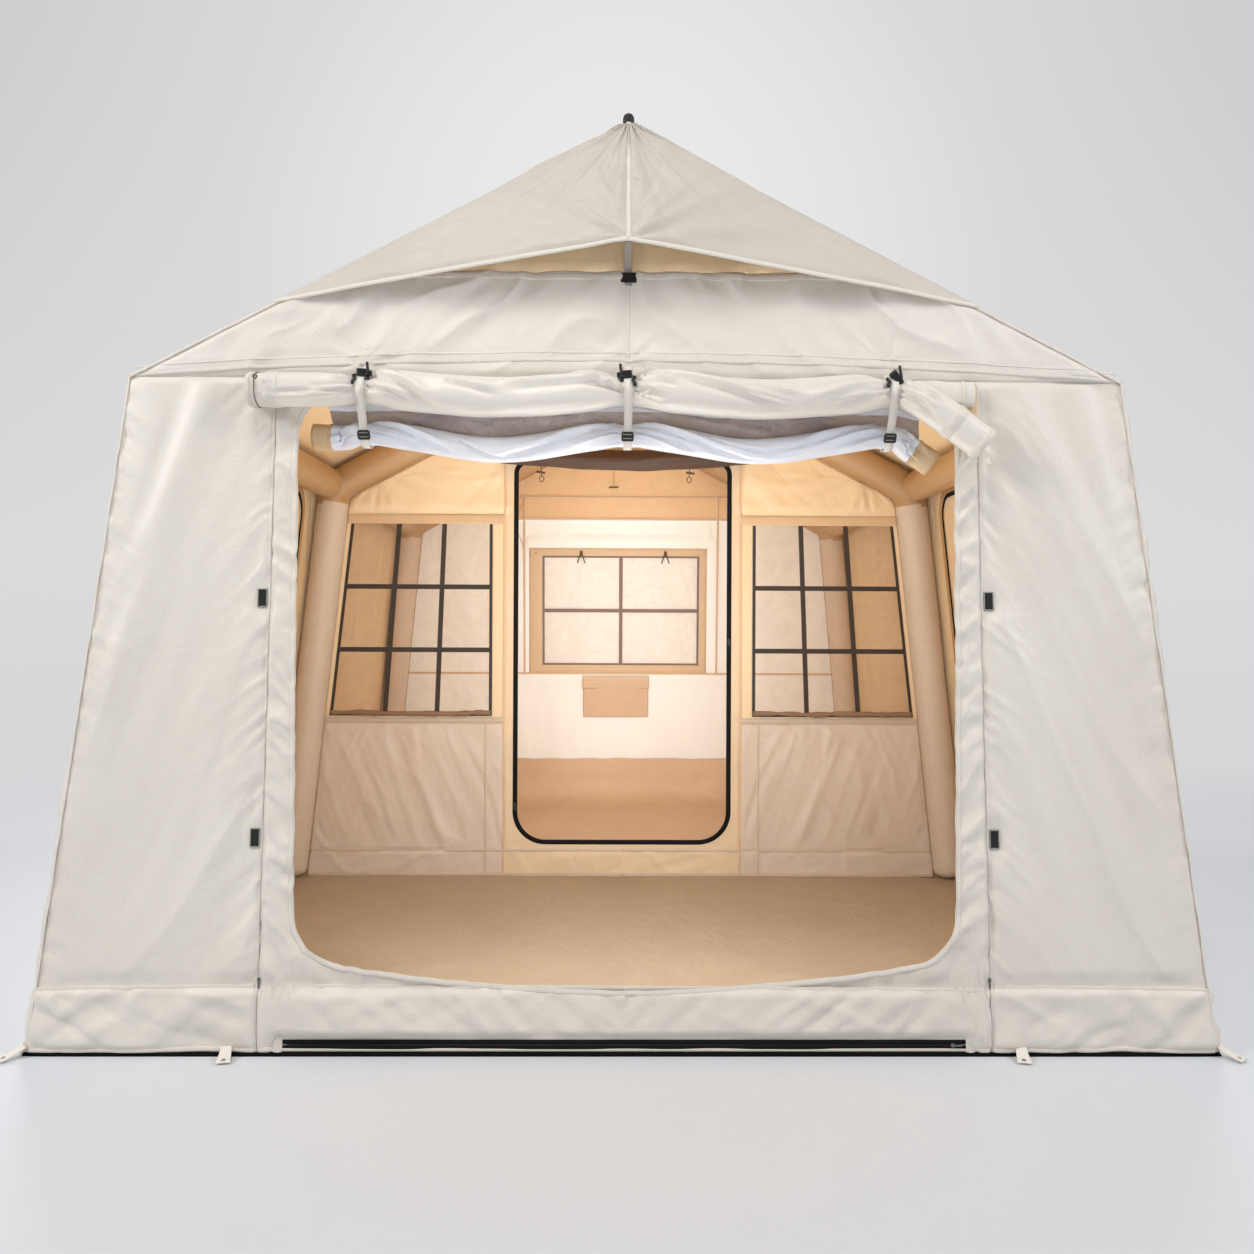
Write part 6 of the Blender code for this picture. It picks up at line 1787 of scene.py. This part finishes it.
top_line = FRONT.place(x, 1.792 + 0.004 * lattice(x / 0.2, x * 0, 183), -0.0075)
points, run = joined_lead(top_line, wound, flat, 26)
share = np.linspace(0, 1, 26)
bay = np.sin(math.pi * np.minimum(1, beside_straps(x) / (0.735 - STRAP_HOLD)))[:, None]
gather = 0.014 * folds(x[:, None], share[None] * 0.12, 12, 0.30, 0.034, 184) + 0.010 * bay
gather = gather + 0.016 * creases(x[:, None], share[None] * 0.10, 62, 0.12, 0.10, 186, 4) * bay
points = points + (gather * np.sin(math.pi * share)[None])[..., None] * FRONT.normal
points, run = points[cuff:-cuff], run[cuff:-cuff]
band = cloth("inner_door_band", [(points[:, :12], run[:, :12])], white_lining, white_lining, 0)
film = cloth("inner_door_film", [(points[:, 11:], run[:, 11:])], grey_film, grey_film, 0)
for piece in (inner_roll, left_cuff, right_cuff, band, film):
    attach(piece, "tent")
    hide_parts("inner_door_roll")
for name, column in (("left", cuff), ("right", -cuff - 1)):
    roll_band(f"inner_roll_{name}_seam", wound, column, 0.010, tan_tape, 0.0004)

# The partition's door, rolled up above its doorway.
# Painted shade: the roll is coloured the dark brown it shows in the shade above the doorway.
valance_painted_shade = fabric("valance_painted_shade", tone(76, 44, 17), tone(56, 32, 12), 0.55, 0.0012)
x = stations((-0.555, 0.575), 0.010)
share = np.linspace(0, 1, len(x))
radius = np.full_like(x, 0.0500)
centre = MIDDLE.place(x, 1.952 - 0.030 * np.sin(math.pi * share), 0.0019 + 0.054)


def valance_relief(at, angle):
    return 0.0048 * folds(at, np.sin(angle) * 0.09 + np.cos(angle) * 0.03, 8, 0.28, 0.035, 191)


wound, flat = wound_sheet(x, centre, MIDDLE.normal, radius, 5.0, 180, 1, valance_relief)
lead = joined_lead(MIDDLE.place(x, np.full_like(x, 2.028), 0.004), wound, flat, 8)
patches = [(wound, flat), lead]
valance = cloth("partition_door_cloth", patches, valance_painted_shade, valance_painted_shade, 0.0010, weld=True)
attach(valance, "tent")
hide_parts("partition_door_roll")

# Its tie cords, each with a small toggle, hang in the top of the doorway.
for label, at, sway in (("left", -0.383, 0.006), ("right", 0.309, -0.003)):
    hang = line((at, 1.930), (at + sway, 1.852), 24)
    cord_round(f"doorway_{label}_tie", MIDDLE.along(hang, -0.012), 0.0022, toggle_brown)
    bar = line((at - 0.018, 1.876), (at + 0.022, 1.870), 10)
    cord_round(f"doorway_{label}_toggle", MIDDLE.along(bar, -0.014), 0.0052, toggle_brown)
    turn = np.linspace(0.6, 2 * math.pi + 0.4, 30)
    loop_x, loop_up = at + sway + 0.010 * np.sin(turn), 1.842 + 0.013 * np.cos(turn)
    cord_round(f"doorway_{label}_loop", MIDDLE.place(loop_x, loop_up, -0.012), 0.0020, toggle_brown)

# Each window's cover is rolled down and lies along its sill.
roll_brown = fabric("roll_brown", tone(150, 118, 92), tone(118, 90, 68), 0.6, 0.0012)


def cover_roll_relief(at, angle):
    return 0.0030 * lattice(np.cos(angle) * 1.6 + at * 9, at / 0.03, 163)


for sign, label in SIDES:
    x = np.sort(sign * stations((WINDOW_INNER_X + 0.004, leg_edge(0.75, 0.030)), 0.0110))
    radius = 0.0125 + 0.0030 * lattice(x / 0.06, x * 0 + 5, 162)
    centre = MIDDLE.place(x, 0.760 + 0.004 * lattice(x / 0.11, x * 0, 161), 0.0170)
    wound, flat = wound_sheet(x, centre, MIDDLE.normal, radius, 4.0, 180, 1, cover_roll_relief)
    patch = wound[:, ::-1], flat[:, ::-1]
    roll = cloth(f"{label}_window_cover_roll", [patch], roll_brown, roll_brown, 0.0006)
    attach(roll, "tent")


# Roll straps
# Cream webbing comes from the eave seam, passes round the front of both rolls and through a black clip. A black
# cord lock and its cord loops sit at the top of each strap.
STRAP_LAP, STRAP_END = 115, -150
cream_webbing = webbing_cloth("cream_webbing", tone(246, 241, 232), tone(232, 225, 213), 0.0026)

upper, r1 = np.array([0.0411, OUTER_UP]), 0.0428
lower, r2 = np.array([-0.020, LOWER_UP]), 0.0358
down = lower - upper
leaning = math.asin((r1 - r2) / np.linalg.norm(down))
tangent = math.degrees(math.atan2(down[1], down[0]) + math.pi / 2 - leaning)


def arc_points(middle, size, start, end, count):
    turn = np.radians(np.linspace(start, end, count))
    return middle + size * np.stack([np.cos(turn), np.sin(turn)], axis=1)


strap_route = np.concatenate([
    [(0.0060, 1.893), (0.0060, 1.880), (0.0060, 1.866)],
    arc_points(upper, r1 + 0.0012, STRAP_LAP, tangent, 34),
    arc_points(lower, r2 + 0.0012, tangent, STRAP_END, 30),
])


def pebble(name, place, axes, size, finish, ribs=0):
    """A moulded block with soft edges: a sphere's grid with its sines and cosines raised to a power, and
    grip ribs across its length."""
    def soft(value):
        return np.sign(value) * np.abs(value) ** 0.45

    rise = np.linspace(-math.pi / 2, math.pi / 2, 26)[:, None]
    turn = np.linspace(0, 2 * math.pi, 32, endpoint=False)[None]
    grip = 0.06 * (ribs > 0) * (0.5 + 0.5 * np.cos(ribs * rise * 2))
    ring_size = soft(np.maximum(np.cos(rise), 0.02)) * (1 - grip)
    parts = np.stack([ring_size * soft(np.cos(turn)), soft(np.sin(rise)) + 0 * turn,
                      ring_size * soft(np.sin(turn))], axis=-1)
    points = np.asarray(place) + (parts * np.asarray(size) / 2) @ np.asarray(axes)
    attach(shown(name, grid_mesh(name, points, wrap=True, caps=True), finish), "tent")


for label, at, tilt, side in (("left", STRAP_X[0], -4, 1), ("centre", STRAP_X[1], 6, -1),
                              ("right", STRAP_X[2], -48, 1)):
    path = FRONT.place(at, strap_route[:, 1], strap_route[:, 0])
    run = lengths(path)
    path = path + (0.0012 * lattice(run / 0.05, at + 0 * run, 201))[:, None] * side_way
    out = unit(np.cross(side_way, np.gradient(path, axis=0)))
    strap = tape(f"{label}_strap_webbing", path, out, 0.0230, 0.0022, cream_webbing)
    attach(strap, "tent")
    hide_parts(f"{label}_roll_strap")
    finish_node(f"{label}_strap_clip", black_nylon)
    turned = math.radians(tilt)
    across = math.cos(turned) * FRONT.across + math.sin(turned) * FRONT.up
    along = -np.cross(across, FRONT.normal)
    place = FRONT.place(at + 0.004 * side, 1.846, 0.072)
    axes = across, along, FRONT.normal
    pebble(f"{label}_cord_lock", place, axes, (0.034, 0.022, 0.020), black_nylon, ribs=3)
    button = place + across * 0.020 * side
    pebble(f"{label}_cord_lock_button", button, axes, (0.014, 0.016, 0.014), black_nylon)
    # The lock's elastic cord stands up beside the webbing and hugs the gathered cloth below the lock.
    foot = place + FRONT.across * 0.015 * side
    stand = line(foot - 0.020 * FRONT.up, foot + 0.030 * FRONT.up, 20)
    stand = stand + 0.002 * np.sin(np.linspace(0, 5, 20))[:, None] * FRONT.across
    cord_round(f"{label}_lock_cord", stand, 0.0042, black_nylon)
    turn = np.radians(np.linspace(52, 8, 26))
    hug = upper + (r1 + 0.0030) * np.stack([np.cos(turn), np.sin(turn)], axis=1)
    shift = at - side * (0.0165 + 0.003 * np.sin(np.linspace(0, 9, 26)))
    cord_round(f"{label}_lock_loop", FRONT.place(shift, hug[:, 1], hug[:, 0]), 0.0044, black_nylon)


# Tabs, threshold zip and stake loops
# Black hook-and-loop tabs beside the zipped seams, a black coil zip along the foot of the entrance with a stitched
# cream stop at each end, and webbing loops with metal eyelets for the stakes.
def hook_tape(name, colour, shade):
    """Hook-and-loop tape: a pile of fine loops, with a stitched border."""
    graph = Graph(name)
    flat, _, y = graph.cloth_place()
    pile = graph.noise(flat, 900, 2, 0.7)
    rows = (y * (2 * math.pi / 0.0024)).math("SINE")
    base = graph.mix(pile * 0.8 + rows * 0.1, colour, shade)
    height = pile * 0.0006 + rows * 0.0002
    return graph.coated({"Base Color": base, "Roughness": 0.82, "Normal": graph.bump(height)})


TAB_LIFT = 0.0034
black_hook = hook_tape("black_hook", tone(14, 14, 15), tone(40, 40, 41))
for side, label in SIDES:
    for up, level in zip(TAB_UP, ("lower", "upper")):
        x = side * TAB_X
        panel = rounded_panel((x - 0.014, x + 0.014), (up - 0.026, up + 0.026), 0.0025, 30, 22)
        patch = FRONT.place(panel[..., 0], panel[..., 1], TAB_LIFT), panel
        tab = cloth(f"{label}_{level}_tab_tape", [patch], black_hook, None, 0.0026)
        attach(tab, f"{label}_{level}_tab")
        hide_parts(f"{label}_{level}_tab")
        box = rounded_box((x - 0.0125, x + 0.0125), (up - 0.0245, up + 0.0245), 0.002, 120)
        edge = FRONT.along(box, TAB_LIFT)
        border = tape(f"{label}_{level}_tab_edge", edge, FRONT.normal, 0.0030, 0.0009, grey_webbing, True)
        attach(border, f"{label}_{level}_tab")


def zip_relief(x, y):
    return 0.0006 + 0.0010 * (0.5 + 0.5 * lattice(x / 0.12, y * 0, 211))


for name, up in (("low", 0.0208), ("high", 0.0352)):
    strip_line = line((-0.918, up), (0.918, up), 300)
    strip = wall_tape(f"threshold_{name}_tape", FRONT, strip_line, zip_relief, (0.0125, 0.0020), black_zip)
    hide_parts("threshold_zip")
coil = line((-0.905, 0.028), (0.905, 0.028), 300)
coil = FRONT.along(coil, 0.0016 + zip_relief(coil[:, 0], coil[:, 1]))
cord_round("threshold_coil", coil, 0.0017, black_nylon, 6)
zip_slider("threshold_slider", FRONT.place(0.875, 0.028, 0.0030), FRONT.normal, -FRONT.across,
           (0.010, 0.005, 0.032), slider_metal)
for side, label in SIDES:
    stop = line((side * 0.930, 0.008), (side * 0.930, 0.056), 20)
    wall_tape(f"{label}_threshold_stop", FRONT, stop, zip_relief, (0.026, 0.0030), cream_tape, 0.0016)


LOOP_LENGTH, LOOP_EYELET, LOOP_BEND = 0.064, 0.052, 0.060


def fall(out):
    """A stake loop's height over the ground, falling from the hem as a power of what is left of its length."""
    return 0.0040 + 0.0200 * np.clip(1 - np.asarray(out) / LOOP_LENGTH, 0, 1) ** 1.4


def stake_loop(name, node, place, towards):
    """Webbing folded double: a trapezium with an eyelet, hanging from the hem and out over the ground."""
    towards = unit(np.array([*towards, 0.0]))
    root = np.array([*place, 0.004])

    def bends(piece):
        tuple(root + LOOP_BEND * towards)
        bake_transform(piece)

    across = np.cross([0, 0, 1], towards)
    turn = np.linspace(0, 2 * math.pi, 96, endpoint=False)
    circle = np.stack([np.cos(turn), np.sin(turn)], axis=1)
    hole = circle * 0.0058 + (0, LOOP_EYELET)
    border = [(-0.0185, LOOP_LENGTH), (-0.0130, 0.0006), (0.0130, 0.0006), (0.0185, LOOP_LENGTH)]
    flat = ring(hole, border, 12)
    foot = np.asarray([*place, 0.0])
    rise = fall(flat[..., 1]) + 0.0012 * np.cos(flat[..., 0] * 90)
    points = foot + flat[..., :1] * across + flat[..., 1:] * towards + rise[..., None] * (0, 0, 1)
    piece = cloth(name, [(points, flat[..., ::-1])], cream_webbing, None, 0.0026)
    bends(piece)
    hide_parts(node)
    edge = circle * 0.0074 + (0, LOOP_EYELET)
    path = foot + edge[:, :1] * across + edge[:, 1:] * towards
    path[:, 2] = fall(edge[:, 1]) + 0.0010
    bends(tape(f"{name}_eyelet", path[::-1], (0, 0, 1), 0.0045, 0.0018, slider_metal, True))
    for at in (0.010, 0.0165):
        stitch = line((-0.0125, at), (0.0125, at), 12)
        path = np.asarray([*place, fall(at) + 0.0012]) + stitch[:, :1] * across + stitch[:, 1:] * towards
        bends(tape(f"{name}_stitch", path, (0, 0, 1), 0.0012, 0.0006, cream_tape))


for end, y in (("front", -1), ("rear", 1)):
    for side, x in (("left", -1), ("right", 1)):
        away = unit(np.array([x, y], float))
        stake_loop(f"{end}_{side}_corner_webbing", f"{end}_{side}_corner_loop",
                   np.array([x * HALF_WIDTH, y * HALF_DEPTH]) + away * 0.0004, away)
for side, label in SIDES:
    stake_loop(f"front_{label}_webbing", f"front_{label}_loop", (side * 1.065, -HALF_DEPTH - 0.0004),
               (-0.2 * side, -1))
